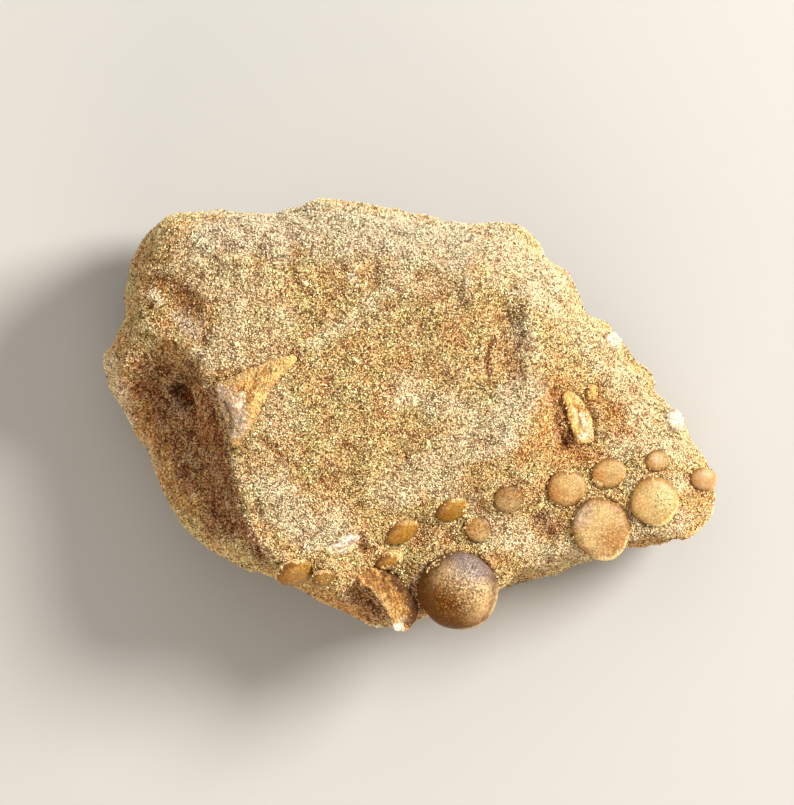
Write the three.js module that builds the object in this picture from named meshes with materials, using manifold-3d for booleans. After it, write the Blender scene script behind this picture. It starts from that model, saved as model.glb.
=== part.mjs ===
// Fossil fish mouth plate: the round crushing teeth of a fish, with scraps of its
// jaw bone and a few shells, set in a lump of coarse sandy phosphate rock.
// Millimetres. The rock lies on its flat underside at z = 0, teeth facing up.
import * as THREE from "three";
import { mergeVertices } from "three/addons/utils/BufferGeometryUtils.js";
import { ImprovedNoise } from "three/addons/math/ImprovedNoise.js";
import Module from "manifold-3d";

const wasm = await Module();
wasm.setup();

// ---- driving dimensions ----
const waistHeight = 15;    // the rock is widest here, and leans in above and below
const seatGap = 0.3;       // gap between a piece and the seat it lies in
const heart = [-1, 1];     // plan centre that the outline is star-shaped about
const rockDetail = 12;     // subdivision of the icosahedron that becomes the rock
const topShare = 0.62;     // share of the surface in the upper faces
const rollShare = 0.13;    // share in the rounded edge down to the waist
const sideShare = 0.2;     // share in the side below the waist; the rest is the base
const baseDepth = 3;       // how far the raw lump reaches under the resting face
const crestHeight = 37.5;  // where the left flank starts to fall
const flankSlope = 52;     // how steeply it falls, degrees
const browWidth = 7.5;     // plan width of the slope from the plateau to the ledge
const faceSoftness = 0.7;  // how far two faces blend where they meet

// The widest line of the rock from above, counter-clockwise from its right tip.
const outline = [
  [52.7, -12], [51.8, -8.8], [49.9, -6.2], [48.3, -4.8], [47.1, -2.2], [45.2, 0.9], [43, 2],
  [42.1, 4.4], [40.5, 8.3], [38.4, 9.2], [36.8, 11.5], [34.4, 15], [31, 16.6], [28.8, 20.8],
  [26, 25.4], [22.5, 27], [21.2, 31.2], [18.4, 32.9], [12, 32.7], [6, 33.2], [1, 34.6],
  [-6, 35.6], [-11, 36.7], [-16, 36.6], [-21, 34.9], [-26, 34.2], [-31, 35.4], [-37, 34.7],
  [-43, 32.6], [-46.2, 29.2], [-48, 24], [-48.6, 17.4], [-50.2, 13.4], [-52.3, 10.6], [-52.7, 7],
  [-51, 3.6], [-48.2, 0.2], [-46.2, -4], [-43.5, -9.4], [-41, -15.6], [-38.2, -20.2],
  [-33.4, -23.6], [-27.4, -26], [-22.8, -28.1], [-17.6, -30.6], [-12.6, -33.2], [-9, -34.8],
  [-6.4, -36.2], [-3.2, -36.5], [1, -35.6], [3.4, -34.8], [8, -33.4], [14, -30.8], [17.6, -28.7],
  [24, -27.4], [28, -26.2], [31.6, -24.8], [35, -23.2], [38.6, -21.4], [46, -22.2], [50, -20.5],
  [52, -17.4],
];

// Natural faces of the upper side: a point each one passes through, the compass
// way it falls (degrees from +X, counter-clockwise) and how steeply (degrees).
const upperFaces = [
  { at: [-6, 4, 39.4], toward: 212, slope: 1.8 },    // plateau
  { at: [-36, 19, 37.8], toward: 172, slope: 20 },   // upper left shoulder
  { at: [8, 24, 40.2], toward: 70, slope: 29 },      // upper right flank
  { at: [20, 13, 40.8], toward: 12, slope: 31 },     // right flank, down to the ledge
  { at: [-8, 28, 38.9], toward: 92, slope: 32 },     // far edge
];

// The left flank falls away to the right of this crest line, as one walks along it.
const crest = [
  [-58, 15.5], [-46, 14.5], [-39.5, 14], [-35.6, 10.4], [-32, 4], [-29.8, -2], [-29.2, -9],
  [-28, -15], [-26.8, -21], [-21.5, -25], [-15, -27.4], [-9, -30], [-2, -44],
];

// The tooth ledge lies below the plateau, to the right of this brow line as one
// walks along it.
const ledge = { at: [30, -14, 31.5], toward: 300, slope: 5 };
const brow = [
  [-19, -42], [-16, -31], [-12, -21.5], [-5, -15.5], [5, -12], [14.5, -9.5], [19.4, -5],
  [21.6, 2], [27, 10], [41, 27],
];

// Hollows (negative) and swells (positive) in the upper side.
const features = [
  { at: [-39, 4], radius: 3, rise: -4 },         // dark pit in the left flank
  { at: [-41, 3], radius: 6, rise: -1.6 },       // and the dip around it
  { at: [-49.6, 8], radius: 4, rise: 2.4 },      // left lobe
  { at: [-39.5, 21.5], radius: 5, rise: -1.4 },  // dip in the upper left shoulder
  { at: [25.4, -5], radius: 2.2, rise: -1.6 },   // hollow beside the bone blade
  { at: [24.6, 5], radius: 1.9, rise: -1 },      // and one at its far end
  { at: [17, -3], radius: 6, rise: 1.4 },        // swell at the plateau's near corner
  { at: [17.4, 14], radius: 4, rise: -1.1 },     // hollows in the plateau's right side
  { at: [13.6, 7], radius: 2.8, rise: -0.8 },
  { at: [-8, -32.6], radius: 3.2, rise: -3.4 },  // sandy hollow beside the rib
];

// Fracture faces that lean in under the waist: compass way they face, and lean.
const underFaces = [
  [8, 24], [52, 30], [95, 20], [140, 33], [185, 27], [228, 35], [262, 22], [310, 30], [335, 18],
];

// Round teeth. at: plan centre; size: half length and half width of the crown;
// turn: compass way of its length; proud: height of its rim over the rock; dome:
// height of the crown over its rim. A tooth lies flush with the rock around it,
// unless lean and toward tilt its axis another way.
const teeth = [
  { name: "tooth_large_dark", at: [8.3, -29.6], size: [6.85, 6.75], turn: 0, proud: 1.2, dome: 5,
    lean: 10, toward: 280 },
  { name: "tooth_large_tan", at: [32.4, -19.3], size: [5, 5.5], turn: 20, proud: 0.4, dome: 1.9,
    lean: 13, toward: 290 },
  { name: "tooth_large_pitted", at: [41.4, -14.7], size: [4.3, 4.3], turn: 0, proud: 0.3, dome: 1.8 },
  { name: "tooth_ledge_left", at: [26.6, -12.4], size: [3.4, 3.3], turn: 0, proud: 0.2, dome: 1.2 },
  { name: "tooth_ledge_upper", at: [33.8, -9.9], size: [3.1, 2.6], turn: 18, proud: 0.2, dome: 1.1 },
  { name: "tooth_ledge_small", at: [41.9, -7.9], size: [2.35, 1.95], turn: 10, proud: 0.2, dome: 0.9 },
  { name: "tooth_right_tip", at: [50, -11], size: [2.45, 2], turn: -8, proud: 0.4, dome: 1.1,
    lean: 14, toward: 0 },
  { name: "tooth_slope_right", at: [16.6, -14.2], size: [2.7, 2.7], turn: 0, proud: 0.1, dome: 0.9,
    lean: 34, toward: 292 },
  { name: "tooth_slope_middle", at: [7.2, -16.1], size: [3.1, 2.8], turn: 22, proud: -0.1, dome: 0.9,
    lean: 52, toward: 294 },
  { name: "tooth_slope_lower", at: [11.5, -19.4], size: [2.35, 2.35], turn: 0, proud: 0.2, dome: 0.9 },
  { name: "tooth_slope_left", at: [-1.4, -19.8], size: [3.2, 2.8], turn: 30, proud: 0.1, dome: 1,
    lean: 54, toward: 302 },
  { name: "tooth_buried_middle", at: [-3.6, -24.8], size: [2.6, 2], turn: 26, proud: 0, dome: 0.9,
    lean: 50, toward: 296 },
  { name: "tooth_buried_left", at: [-19.5, -26.3], size: [3.6, 3], turn: 22, proud: 0.3, dome: 1.3,
    lean: 54, toward: 292 },
  { name: "tooth_buried_small", at: [-14.8, -27.6], size: [2.1, 1.7], turn: 14, proud: 0, dome: 0.9,
    lean: 44, toward: 285 },
];
const rootDepth = 0.7;     // depth of a tooth under its rim, as a share of its half width
const largeTooth = 4;      // a crown wider than this each way from its centre is cut finer
const scrapReach = 4;      // the rock is calm this far from the middle of a scrap

// Flat scraps of bone and shell that follow the rock's surface. outline: plan shape
// about its own centre, counter-clockwise; depth: thickness; proud: height of its
// face over the rock.
const scraps = [
  { name: "jaw_bone_wedge", at: [-28.4, 3.4], depth: 3.6, proud: 0.8, outline: [
    [9, 6.2], [7.6, 6.6], [3.6, 5.4], [-0.4, 3.6], [-4.6, 2], [-4, -1.4], [-2.8, -5], [-1.4, -8.8],
    [0.7, -6.2], [2.4, -2.8], [4.3, 0.8], [6.5, 3.4],
  ] },
  { name: "bone_blade", at: [28.6, -1], depth: 2.8, proud: 0.9, outline: [
    [2.5, 0.2], [1, 3.1], [-0.8, 4.8], [-2.4, 5.2], [-2.9, 3.8], [-2, 0.6], [-0.6, -3.6], [1, -4.2],
    [2.9, -3.5],
  ] },
  { name: "shell_fragment", at: [-11.5, -22.1], depth: 1.7, proud: 0.5, outline: [
    [2.8, 1], [2.2, 1.6], [0, 1.3], [-2.8, -0.7], [-1.9, -1.4], [1.2, -0.8],
  ] },
];
// Section of a scrap from the middle of its underside to the middle of its face.
const scrapRings = [
  { reach: 0, down: 1 }, { reach: 0.55, down: 1 }, { reach: 0.88, down: 0.75 },
  { reach: 1, down: 0.3 }, { reach: 0.93, down: 0 }, { reach: 0.5, down: 0 }, { reach: 0, down: 0 },
];

// The curved rib of bone beside the big tooth stands out past the rock's edge.
const rib = {
  name: "bone_rib", at: [-3.4, -31], depth: 5.5, bevel: 0.4, proud: 1.4, lean: 8, toward: 265,
  outline: [
    [-6.2, 4.2], [-5.4, 2.7], [-3.4, 1.9], [-1.8, 0.2], [-1.1, -1.2], [0, -2.2], [0.4, -3.8],
    [0.9, -5.6], [2.8, -5.6], [4.3, -3.8], [4.8, -2.2], [4.3, -0.6], [2.9, 1.4], [0.6, 3.7],
    [-3.2, 5],
  ],
};

// Rounded lumps: half sizes, and height of the centre over the rock.
const lumps = [
  { name: "bone_lump", at: [30.8, 3.8], size: [1.2, 1.5, 1.1], proud: 0.2 },
  { name: "shell_chip_upper", at: [34.2, 12.6], size: [1.5, 2, 1.5], proud: 0 },
  { name: "shell_chip_lower", at: [44.8, -1], size: [2.1, 2.5, 1.8], proud: 0 },
];

// ---- materials ----
const rockFinish = new THREE.MeshStandardMaterial({ color: 0xc9a565, roughness: 0.92, metalness: 0 });
const darkEnamel = new THREE.MeshStandardMaterial({ color: 0x86664a, roughness: 0.35, metalness: 0 });
const tanEnamel = new THREE.MeshStandardMaterial({ color: 0xc79a5b, roughness: 0.4, metalness: 0 });
const boneFinish = new THREE.MeshStandardMaterial({ color: 0xc98f4e, roughness: 0.7, metalness: 0 });
const shellFinish = new THREE.MeshStandardMaterial({ color: 0xe8dccb, roughness: 0.7, metalness: 0 });

// ---- small helpers ----
const radians = THREE.MathUtils.degToRad;
const noise = new ImprovedNoise();

function noiseAt(point, size) {
  return noise.noise(point.x / size + 31.4, point.y / size + 27.1, point.z / size + 11.7);
}

function facePlane(face, x, y) {
  const along = (x - face.at[0]) * Math.cos(radians(face.toward))
    + (y - face.at[1]) * Math.sin(radians(face.toward));
  return face.at[2] - Math.tan(radians(face.slope)) * along;
}

function softMinimum(heights, softness) {
  const lowest = Math.min(...heights);
  const sum = heights.reduce((total, height) => total + Math.exp((lowest - height) / softness), 0);
  return lowest - softness * Math.log(sum);
}

// Distance from a line of points, positive to its right when walking along it.
function distanceRightOf(line, x, y) {
  let best = Infinity;
  let side = 1;
  for (let i = 0; i + 1 < line.length; i += 1) {
    const [ax, ay] = line[i];
    const [dx, dy] = [line[i + 1][0] - ax, line[i + 1][1] - ay];
    const along = THREE.MathUtils.clamp(((x - ax) * dx + (y - ay) * dy) / (dx * dx + dy * dy), 0, 1);
    const distance = Math.hypot(x - ax - along * dx, y - ay - along * dy);
    if (distance < best) {
      best = distance;
      side = dx * (y - ay) - dy * (x - ax) > 0 ? -1 : 1;
    }
  }
  return best * side;
}

// ---- the rock ----
const rimCurve = new THREE.CatmullRomCurve3(
  outline.map(([x, y]) => new THREE.Vector3(x, y, 0)), true, "centripetal");
const rimSteps = rimCurve.getSpacedPoints(720).slice(0, -1)
  .map((p) => [Math.atan2(p.y - heart[1], p.x - heart[0]), Math.hypot(p.x - heart[0], p.y - heart[1])])
  .sort((a, b) => a[0] - b[0]);

function rimRadius(angle) {
  const next = Math.max(rimSteps.findIndex((step) => step[0] > angle), 0);
  const [nextAngle, nextRadius] = rimSteps[next];
  const [lastAngle, lastRadius] = rimSteps[(next + rimSteps.length - 1) % rimSteps.length];
  const turn = 2 * Math.PI;
  const span = (nextAngle - lastAngle + turn) % turn;
  const along = span > 0 ? ((angle - lastAngle + turn) % turn) / span : 0;
  return THREE.MathUtils.lerp(lastRadius, nextRadius, along);
}

// Plan width of the rounded edge: broad at the upper right, tight at the lower left.
function rollWidth(angle) {
  return 5 + 2.2 * Math.cos(angle - radians(55));
}

// Height of the upper side over a plan point, with its edge rolled down to the waist.
function topHeight(x, y) {
  const flank = crestHeight - Math.tan(radians(flankSlope)) * distanceRightOf(crest, x, y);
  const faces = [flank, ...upperFaces.map((face) => facePlane(face, x, y))];
  const upper = softMinimum(faces, faceSoftness);
  const drop = THREE.MathUtils.smoothstep(distanceRightOf(brow, x, y), 0, browWidth);
  let height = THREE.MathUtils.lerp(upper, Math.min(upper, facePlane(ledge, x, y)), drop);
  for (const { at, radius, rise } of features) {
    height += rise * Math.exp(-((x - at[0]) ** 2 + (y - at[1]) ** 2) / radius ** 2);
  }
  const angle = Math.atan2(y - heart[1], x - heart[0]);
  const inset = rimRadius(angle) - Math.hypot(x - heart[0], y - heart[1]);
  const roll = rollWidth(angle);
  const over = THREE.MathUtils.clamp((roll - inset) / roll, 0, 1);
  return waistHeight + (height - waistHeight) * Math.sqrt(1 - over * over);
}

// Carries a point of the unit sphere to the rock: the crown of the sphere becomes
// the upper faces, the next band the rolled edge, then the side and the base.
function rockPoint(direction) {
  const share = (1 - direction.z) / 2;
  const angle = Math.atan2(direction.y, direction.x);
  const rim = rimRadius(angle);
  const roll = rollWidth(angle);
  const isTop = share < topShare + rollShare;
  const down = (share - topShare - rollShare) / sideShare;
  let reach = rim;
  if (share < topShare) {
    reach = (rim - roll) * Math.sqrt(share / topShare);
  } else if (isTop) {
    reach = rim - roll * (1 - Math.sin((share - topShare) / rollShare * Math.PI / 2));
  } else if (down > 1) {
    reach = rim * Math.sqrt((1 - share) / (1 - topShare - rollShare - sideShare));
  }
  const x = heart[0] + reach * Math.cos(angle);
  const y = heart[1] + reach * Math.sin(angle);
  const z = isTop ? topHeight(x, y) : waistHeight - (waistHeight + baseDepth) * Math.min(down, 1);
  return new THREE.Vector3(x, y, z);
}

// 1 in the middle of a tooth or scrap, fading to 0 on the open rock.
function besidePieces(x, y) {
  const rings = [...teeth.map(({ at, size }) => [at, size[0]]), ...scraps.map(({ at }) => [at, scrapReach])];
  return Math.max(...rings.map(([at, reach]) => (
    Math.exp(-(((x - at[0]) ** 2 + (y - at[1]) ** 2) / (1.5 * reach) ** 2))
  )));
}

// Natural lumpiness, outward from the rock: least along the waist and round the
// teeth and scraps, most below the waist.
function roughen(point, direction) {
  const flat = Math.hypot(direction.x, direction.y) || 1;
  const share = (1 - direction.z) / 2;
  const sideways = THREE.MathUtils.smoothstep(share, topShare * 0.8, topShare + rollShare);
  const out = new THREE.Vector3(direction.x / flat * sideways, direction.y / flat * sideways, 1 - sideways);
  const nearWaist = Math.exp(-(((point.z - waistHeight) / 5) ** 2)) * sideways;
  const below = THREE.MathUtils.smoothstep(waistHeight - point.z, 2, 8);
  const amount = 1.1 * noiseAt(point, 13) + 0.8 * noiseAt(point, 5.5);
  const calm = Math.max(0.75 * nearWaist, 0.85 * besidePieces(point.x, point.y));
  point.addScaledVector(out, amount * (1 - calm) * (1 + below));
}

function leanInUnderWaist(point) {
  for (const [compass, lean] of underFaces) {
    const out = new THREE.Vector3(Math.cos(radians(compass)), Math.sin(radians(compass)), 0);
    const reach = Math.max(...outline.map(([x, y]) => x * out.x + y * out.y));
    const allowed = reach - (waistHeight - point.z) * Math.tan(radians(lean));
    const excess = point.x * out.x + point.y * out.y - allowed;
    if (point.z < waistHeight && excess > 0) point.addScaledVector(out, -excess);
  }
}

function rockGeometry() {
  const geometry = mergeVertices(bare(new THREE.IcosahedronGeometry(1, rockDetail)));
  const positions = geometry.getAttribute("position");
  for (let i = 0; i < positions.count; i += 1) {
    const direction = new THREE.Vector3().fromBufferAttribute(positions, i).normalize();
    const point = rockPoint(direction);
    leanInUnderWaist(point);
    roughen(point, direction);
    positions.setXYZ(i, point.x, point.y, point.z);
  }
  return geometry;
}

// ---- teeth and scraps; grow makes the same shape larger all round ----
// The way a piece faces: by its own lean, or else square to the rock round it.
function facing({ at: [x, y], size, lean, toward }) {
  if (lean !== undefined) {
    const sideways = Math.sin(radians(lean));
    return new THREE.Vector3(
      Math.cos(radians(toward)) * sideways,
      Math.sin(radians(toward)) * sideways,
      Math.cos(radians(lean)));
  }
  const reach = size[0];
  return new THREE.Vector3(
    topHeight(x - reach, y) - topHeight(x + reach, y),
    topHeight(x, y - reach) - topHeight(x, y + reach),
    2 * reach).normalize();
}

function placed(geometry, piece) {
  const out = facing(piece);
  const [x, y] = piece.at;
  const seat = new THREE.Vector3(x, y, topHeight(x, y)).addScaledVector(out, piece.proud);
  geometry.applyQuaternion(new THREE.Quaternion().setFromUnitVectors(new THREE.Vector3(0, 0, 1), out));
  return geometry.translate(seat.x, seat.y, seat.z);
}

function toothGeometry(tooth, grow) {
  const [halfLength, halfWidth] = tooth.size;
  const isLarge = halfLength > largeTooth;
  const depth = rootDepth * Math.min(halfLength, halfWidth);
  const profile = [[0, -depth - grow], [0.6, -depth - grow], [0.9, -0.45 * depth], [1, 0]];
  const domeSteps = isLarge ? 4 : 3;
  for (let step = 1; step < domeSteps; step += 1) {
    const bend = step / domeSteps * Math.PI / 2;
    profile.push([Math.cos(bend), Math.sin(bend) * (tooth.dome + grow)]);
  }
  profile.push([0, tooth.dome + grow]);
  const points = profile.map(([radius, height]) => new THREE.Vector2(radius, height));
  const geometry = new THREE.LatheGeometry(points, isLarge ? 22 : 14);
  geometry.rotateX(Math.PI / 2);
  geometry.scale(halfLength + grow, halfWidth + grow, 1);
  geometry.rotateZ(radians(tooth.turn));
  return placed(geometry, tooth);
}

function scrapGeometry(scrap, grow) {
  const { at, depth, proud, outline: edge } = scrap;
  const section = scrapRings.map(({ reach, down }) => new THREE.Vector2(reach, -down));
  const geometry = new THREE.LatheGeometry(section, edge.length);
  const positions = geometry.getAttribute("position");
  for (let i = 0; i <= edge.length; i += 1) {
    const [edgeX, edgeY] = edge[i % edge.length];
    const wider = 1 + grow / Math.hypot(edgeX, edgeY);
    scrapRings.forEach(({ reach, down }, j) => {
      const x = at[0] + edgeX * reach * wider;
      const y = at[1] + edgeY * reach * wider;
      const z = topHeight(x, y) + proud - depth * down + grow * (1 - 2 * down);
      positions.setXYZ(i * scrapRings.length + j, x, y, z);
    });
  }
  return geometry;
}

function ribGeometry(grow) {
  const shape = new THREE.Shape(rib.outline.map(([x, y]) => new THREE.Vector2(x, y)));
  const geometry = new THREE.ExtrudeGeometry(shape, {
    depth: rib.depth - 2 * rib.bevel,
    bevelSegments: 1,
    bevelOffset: grow - rib.bevel,
    bevelSize: rib.bevel,
    bevelThickness: rib.bevel + grow,
  });
  return placed(geometry.translate(0, 0, rib.bevel - rib.depth), rib);
}

function lumpGeometry(lump, grow) {
  const geometry = new THREE.IcosahedronGeometry(1, 1);
  geometry.scale(...lump.size.map((half) => half + grow));
  return placed(geometry, lump);
}

// ---- solids ----
function bare(geometry) {
  geometry.deleteAttribute("normal");
  geometry.deleteAttribute("uv");
  return geometry;
}

function toSolid(geometry) {
  const merged = mergeVertices(bare(geometry), 1e-4);
  return new wasm.Manifold(new wasm.Mesh({
    numProp: 3,
    vertProperties: new Float32Array(merged.getAttribute("position").array),
    triVerts: new Uint32Array(merged.getIndex().array),
  }));
}

function toGeometry(solid) {
  const { vertProperties, triVerts } = solid.getMesh();
  const geometry = new THREE.BufferGeometry();
  geometry.setAttribute("position", new THREE.BufferAttribute(vertProperties, 3));
  geometry.setIndex(new THREE.BufferAttribute(triVerts, 1));
  return geometry;
}

function boneOrShell(name) {
  return name.startsWith("shell") ? shellFinish : boneFinish;
}

const inlays = [
  ...teeth.map((tooth) => ({
    name: tooth.name,
    shape: (grow) => toothGeometry(tooth, grow),
    finish: tooth.name === "tooth_large_dark" ? darkEnamel : tanEnamel,
  })),
  ...scraps.map((scrap) => ({
    name: scrap.name,
    shape: (grow) => scrapGeometry(scrap, grow),
    finish: boneOrShell(scrap.name),
  })),
  { name: rib.name, shape: ribGeometry, finish: boneFinish },
  ...lumps.map((lump) => ({
    name: lump.name,
    shape: (grow) => lumpGeometry(lump, grow),
    finish: boneOrShell(lump.name),
  })),
];

const aboveFloor = toSolid(new THREE.BoxGeometry(200, 200, 100).translate(0, 0, 50));
let rock = toSolid(rockGeometry()).intersect(aboveFloor);
for (const inlay of inlays) rock = rock.subtract(toSolid(inlay.shape(seatGap)));
// A seat can nip off a crumb of rock at its rim: only the lump itself is kept.
[rock] = rock.decompose().sort((a, b) => b.volume() - a.volume());

const fossil = new THREE.Group();
const rockMesh = new THREE.Mesh(toGeometry(rock), rockFinish);
rockMesh.name = "rock_matrix";
fossil.add(rockMesh);
for (const inlay of inlays) {
  const mesh = new THREE.Mesh(toGeometry(toSolid(inlay.shape(0))), inlay.finish);
  mesh.name = inlay.name;
  fossil.add(mesh);
}

// The origin is the middle of the resting face: the centre of the box, on the floor.
const box = new THREE.Box3().setFromObject(fossil);
fossil.position.set(-(box.min.x + box.max.x) / 2, -(box.min.y + box.max.y) / 2, -box.min.z);

export default fossil;
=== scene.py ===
# Fossil fish mouth plate: round crushing teeth with scraps of jaw bone and shell, set
# in a lump of coarse sandy phosphate rock. Metres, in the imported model's own frame.
import math
import bmesh
import bpy
import numpy as np
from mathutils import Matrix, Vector, noise
from mathutils.bvhtree import BVHTree


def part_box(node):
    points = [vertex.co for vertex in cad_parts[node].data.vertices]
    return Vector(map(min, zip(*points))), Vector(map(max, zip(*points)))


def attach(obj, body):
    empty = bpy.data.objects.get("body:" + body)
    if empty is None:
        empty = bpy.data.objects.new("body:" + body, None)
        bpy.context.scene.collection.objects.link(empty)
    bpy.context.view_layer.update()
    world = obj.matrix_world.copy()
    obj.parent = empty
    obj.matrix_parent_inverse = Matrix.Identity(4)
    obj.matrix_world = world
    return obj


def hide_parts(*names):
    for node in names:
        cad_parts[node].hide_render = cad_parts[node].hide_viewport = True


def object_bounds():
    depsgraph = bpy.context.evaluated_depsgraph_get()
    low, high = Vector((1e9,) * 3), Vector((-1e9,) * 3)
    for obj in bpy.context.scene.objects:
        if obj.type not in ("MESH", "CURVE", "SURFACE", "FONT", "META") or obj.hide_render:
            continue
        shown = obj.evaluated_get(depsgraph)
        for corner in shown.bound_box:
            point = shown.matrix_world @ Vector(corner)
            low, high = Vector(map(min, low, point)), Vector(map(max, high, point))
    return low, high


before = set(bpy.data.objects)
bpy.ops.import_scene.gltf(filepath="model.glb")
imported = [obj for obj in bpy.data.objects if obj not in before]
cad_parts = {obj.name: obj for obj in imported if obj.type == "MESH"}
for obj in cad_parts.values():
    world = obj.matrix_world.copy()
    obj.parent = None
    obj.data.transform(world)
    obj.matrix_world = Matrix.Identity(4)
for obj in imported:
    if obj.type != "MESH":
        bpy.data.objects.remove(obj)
boxLow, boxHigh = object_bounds()
mm = 0.001
inlayNames = sorted(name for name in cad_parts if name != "rock_matrix")
print("frame loaded:", len(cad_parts), "pieces")


def smoothStep(value, low, high):
    # 0 up to low, 1 from high on, and a smooth rise between them
    share = np.clip((value - low) / (high - low), 0, 1)
    return share * share * (3 - 2 * share)


def pointsOf(mesh):
    found = np.empty(len(mesh.vertices) * 3, np.float32)
    mesh.vertices.foreach_get("co", found)
    return found.reshape(-1, 3).astype(float)


def normalsOf(mesh):
    found = np.empty(len(mesh.vertices) * 3, np.float32)
    mesh.vertex_normals.foreach_get("vector", found)
    return found.reshape(-1, 3).astype(float)


def edgesOf(mesh):
    found = np.empty(len(mesh.edges) * 2, np.int32)
    mesh.edges.foreach_get("vertices", found)
    return found.reshape(-1, 2)


def setPoints(mesh, points):
    mesh.vertices.foreach_set("co", points.astype(np.float32).ravel())
    mesh.update()


def paint(mesh, name, values):
    # one number, or one vector, for each point of the mesh
    kind, field = ("FLOAT", "value") if values.ndim == 1 else ("FLOAT_VECTOR", "vector")
    layer = mesh.attributes.new(name, kind, "POINT")
    layer.data.foreach_set(field, values.astype(np.float32).ravel())


def paintedOn(mesh, name):
    # what was painted on each point, or nothing at all
    found = np.zeros(len(mesh.vertices), np.float32)
    if name in mesh.attributes:
        mesh.attributes[name].data.foreach_get("value", found)
    return found


def noiseOver(points, size, shift):
    # smooth lumps about this many metres across, from -1 to 1
    offset = Vector((shift * 7.31, shift * 3.17, shift * 5.73))
    return np.array([noise.noise(Vector(p) / size + offset) for p in points])


def lineDistance(spots, line):
    # distance of each plan spot from a line of places
    best = np.full(len(spots), np.inf)
    for start, end in zip(line, line[1:] or line):
        way = np.subtract(end, start)
        share = np.clip((spots - start) @ way / max(way @ way, 1e-9), 0, 1)
        best = np.minimum(best, np.linalg.norm(spots - start - share[:, None] * way, axis=1))
    return best


def wandering(points, size, shift):
    # a shift in plan that wanders from place to place
    return np.stack([noiseOver(points, size, shift), noiseOver(points, size, shift + 1)], 1)


def towards(around, way, spread):
    # 1 in one compass direction, fading to 0 on both sides of it, all in degrees
    apart = (around - way + 180) % 360 - 180
    return np.exp(-(apart / spread) ** 2)


broadWander, fineWander = 5 * mm, 1.2 * mm    # lengths over which a stroke's edge wanders


def strokes(points, home, marks, ragged=0.35):
    # marks: places in mm from home, half width of the stroke in mm, strength
    spots = (points[:, :2] - home[:2]) / mm
    total = np.zeros(len(points))
    if not marks:
        return total
    broad, fine = wandering(points, broadWander, 31), wandering(points, fineWander, 33)
    for line, width, strength in marks:
        drift = 0.3 * fine + broad if width > 1.5 else fine
        away = lineDistance(spots + drift * width * ragged * 2, line) / width
        cover = strength * (1 - smoothStep(away, 0.3, 1.3))
        total = np.where(np.abs(cover) > np.abs(total), cover, total)
    return total


def middleOf(node):
    low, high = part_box(node)
    return (np.array(low) + np.array(high)) / 2


def evened(points, edges, weights, rounds):
    # each point drifts towards the middle of its neighbours, by its own weight
    count = np.bincount(edges.ravel(), minlength=len(points))
    first, second = edges.T
    for _ in range(rounds):
        total = np.stack([
            np.bincount(first, points[second, axis], len(points))
            + np.bincount(second, points[first, axis], len(points))
            for axis in range(3)
        ], 1)
        points = points + 0.5 * weights[:, None] * (total / count[:, None] - points)
    return points


def newObject(name, data):
    made = bpy.data.objects.new(name, data)
    bpy.context.scene.collection.objects.link(made)
    return made


def mergedCopy(node, name):
    # a copy of a CAD node as one closed mesh, in a new object
    work = bmesh.new()
    work.from_mesh(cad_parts[node].data)
    bmesh.ops.remove_doubles(work, verts=work.verts, dist=0.002 * mm)
    mesh = bpy.data.meshes.new(name)
    work.to_mesh(mesh)
    work.free()
    if "custom_normal" in mesh.attributes:
        mesh.attributes.remove(mesh.attributes["custom_normal"])
    mesh.materials.clear()
    return newObject(name, mesh)


def settled(piece):
    # the piece with its modifiers made part of its mesh
    graph = bpy.context.evaluated_depsgraph_get()
    mesh = bpy.data.meshes.new_from_object(piece.evaluated_get(graph))
    piece.modifiers.clear()
    piece.data = mesh
    return piece


def remeshed(piece, voxel):
    skin = piece.modifiers.new("skin", "REMESH")
    skin.mode = "VOXEL"
    skin.voxel_size = voxel
    return settled(piece)


def smoothShaded(mesh):
    mesh.polygons.foreach_set("use_smooth", np.ones(len(mesh.polygons), bool))


def finished(piece, material, nodes=()):
    piece.data.materials.append(material)
    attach(piece, "root")
    if nodes:
        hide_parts(*nodes)
    return piece


def surfaceTree(names):
    # one search tree over the faces of several CAD nodes
    corners, faces = [], []
    for name in names:
        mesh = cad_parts[name].data
        start = len(corners)
        corners += [v.co.copy() for v in mesh.vertices]
        faces += [[start + i for i in face.vertices] for face in mesh.polygons]
    return BVHTree.FromPolygons(corners, faces)


def nearestOn(tree, points):
    found = [tree.find_nearest(Vector(p)) for p in points]
    return np.array([f[0] for f in found]), np.array([f[3] for f in found])


def addNode(tree, kind, inputs=None, **settings):
    # inputs: a socket is linked, anything else is set as the socket's own value
    node = tree.nodes.new(kind)
    for key, value in settings.items():
        setattr(node, key, value)
    for key, value in (inputs or {}).items():
        if isinstance(value, bpy.types.NodeSocket):
            tree.links.new(value, node.inputs[key])
        else:
            node.inputs[key].default_value = value
    return node


def useGroup(tree, group, inputs):
    return addNode(tree, "ShaderNodeGroup", inputs, node_tree=group)


def mixed(tree, factor, first, second, blend="MIX"):
    inputs = {0: factor, 6: first, 7: second}
    return addNode(tree, "ShaderNodeMix", inputs, data_type="RGBA", blend_type=blend).outputs[2]


def toned(tree, colour, tone):
    return mixed(tree, 1.0, colour, tone, "MULTIPLY")


def tinted(tree, colour, amount, tone):
    # the colour times a tone, where the amount allows
    return mixed(tree, amount, colour, toned(tree, colour, tone))


def maths(tree, operation, first, second=0.0, third=0.0, clamp=False):
    inputs = {0: first, 1: second, 2: third}
    return addNode(tree, "ShaderNodeMath", inputs, operation=operation, use_clamp=clamp).outputs[0]


def times(tree, first, second):
    return maths(tree, "MULTIPLY", first, second)


def plus(tree, first, second):
    return maths(tree, "ADD", first, second)


def minus(tree, first, second):
    return maths(tree, "SUBTRACT", first, second)


def swung(tree, pattern, reach):
    # a pattern from 0 to 1 as a swing to either side of nothing
    return times(tree, minus(tree, pattern, 0.5), reach)


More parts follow.
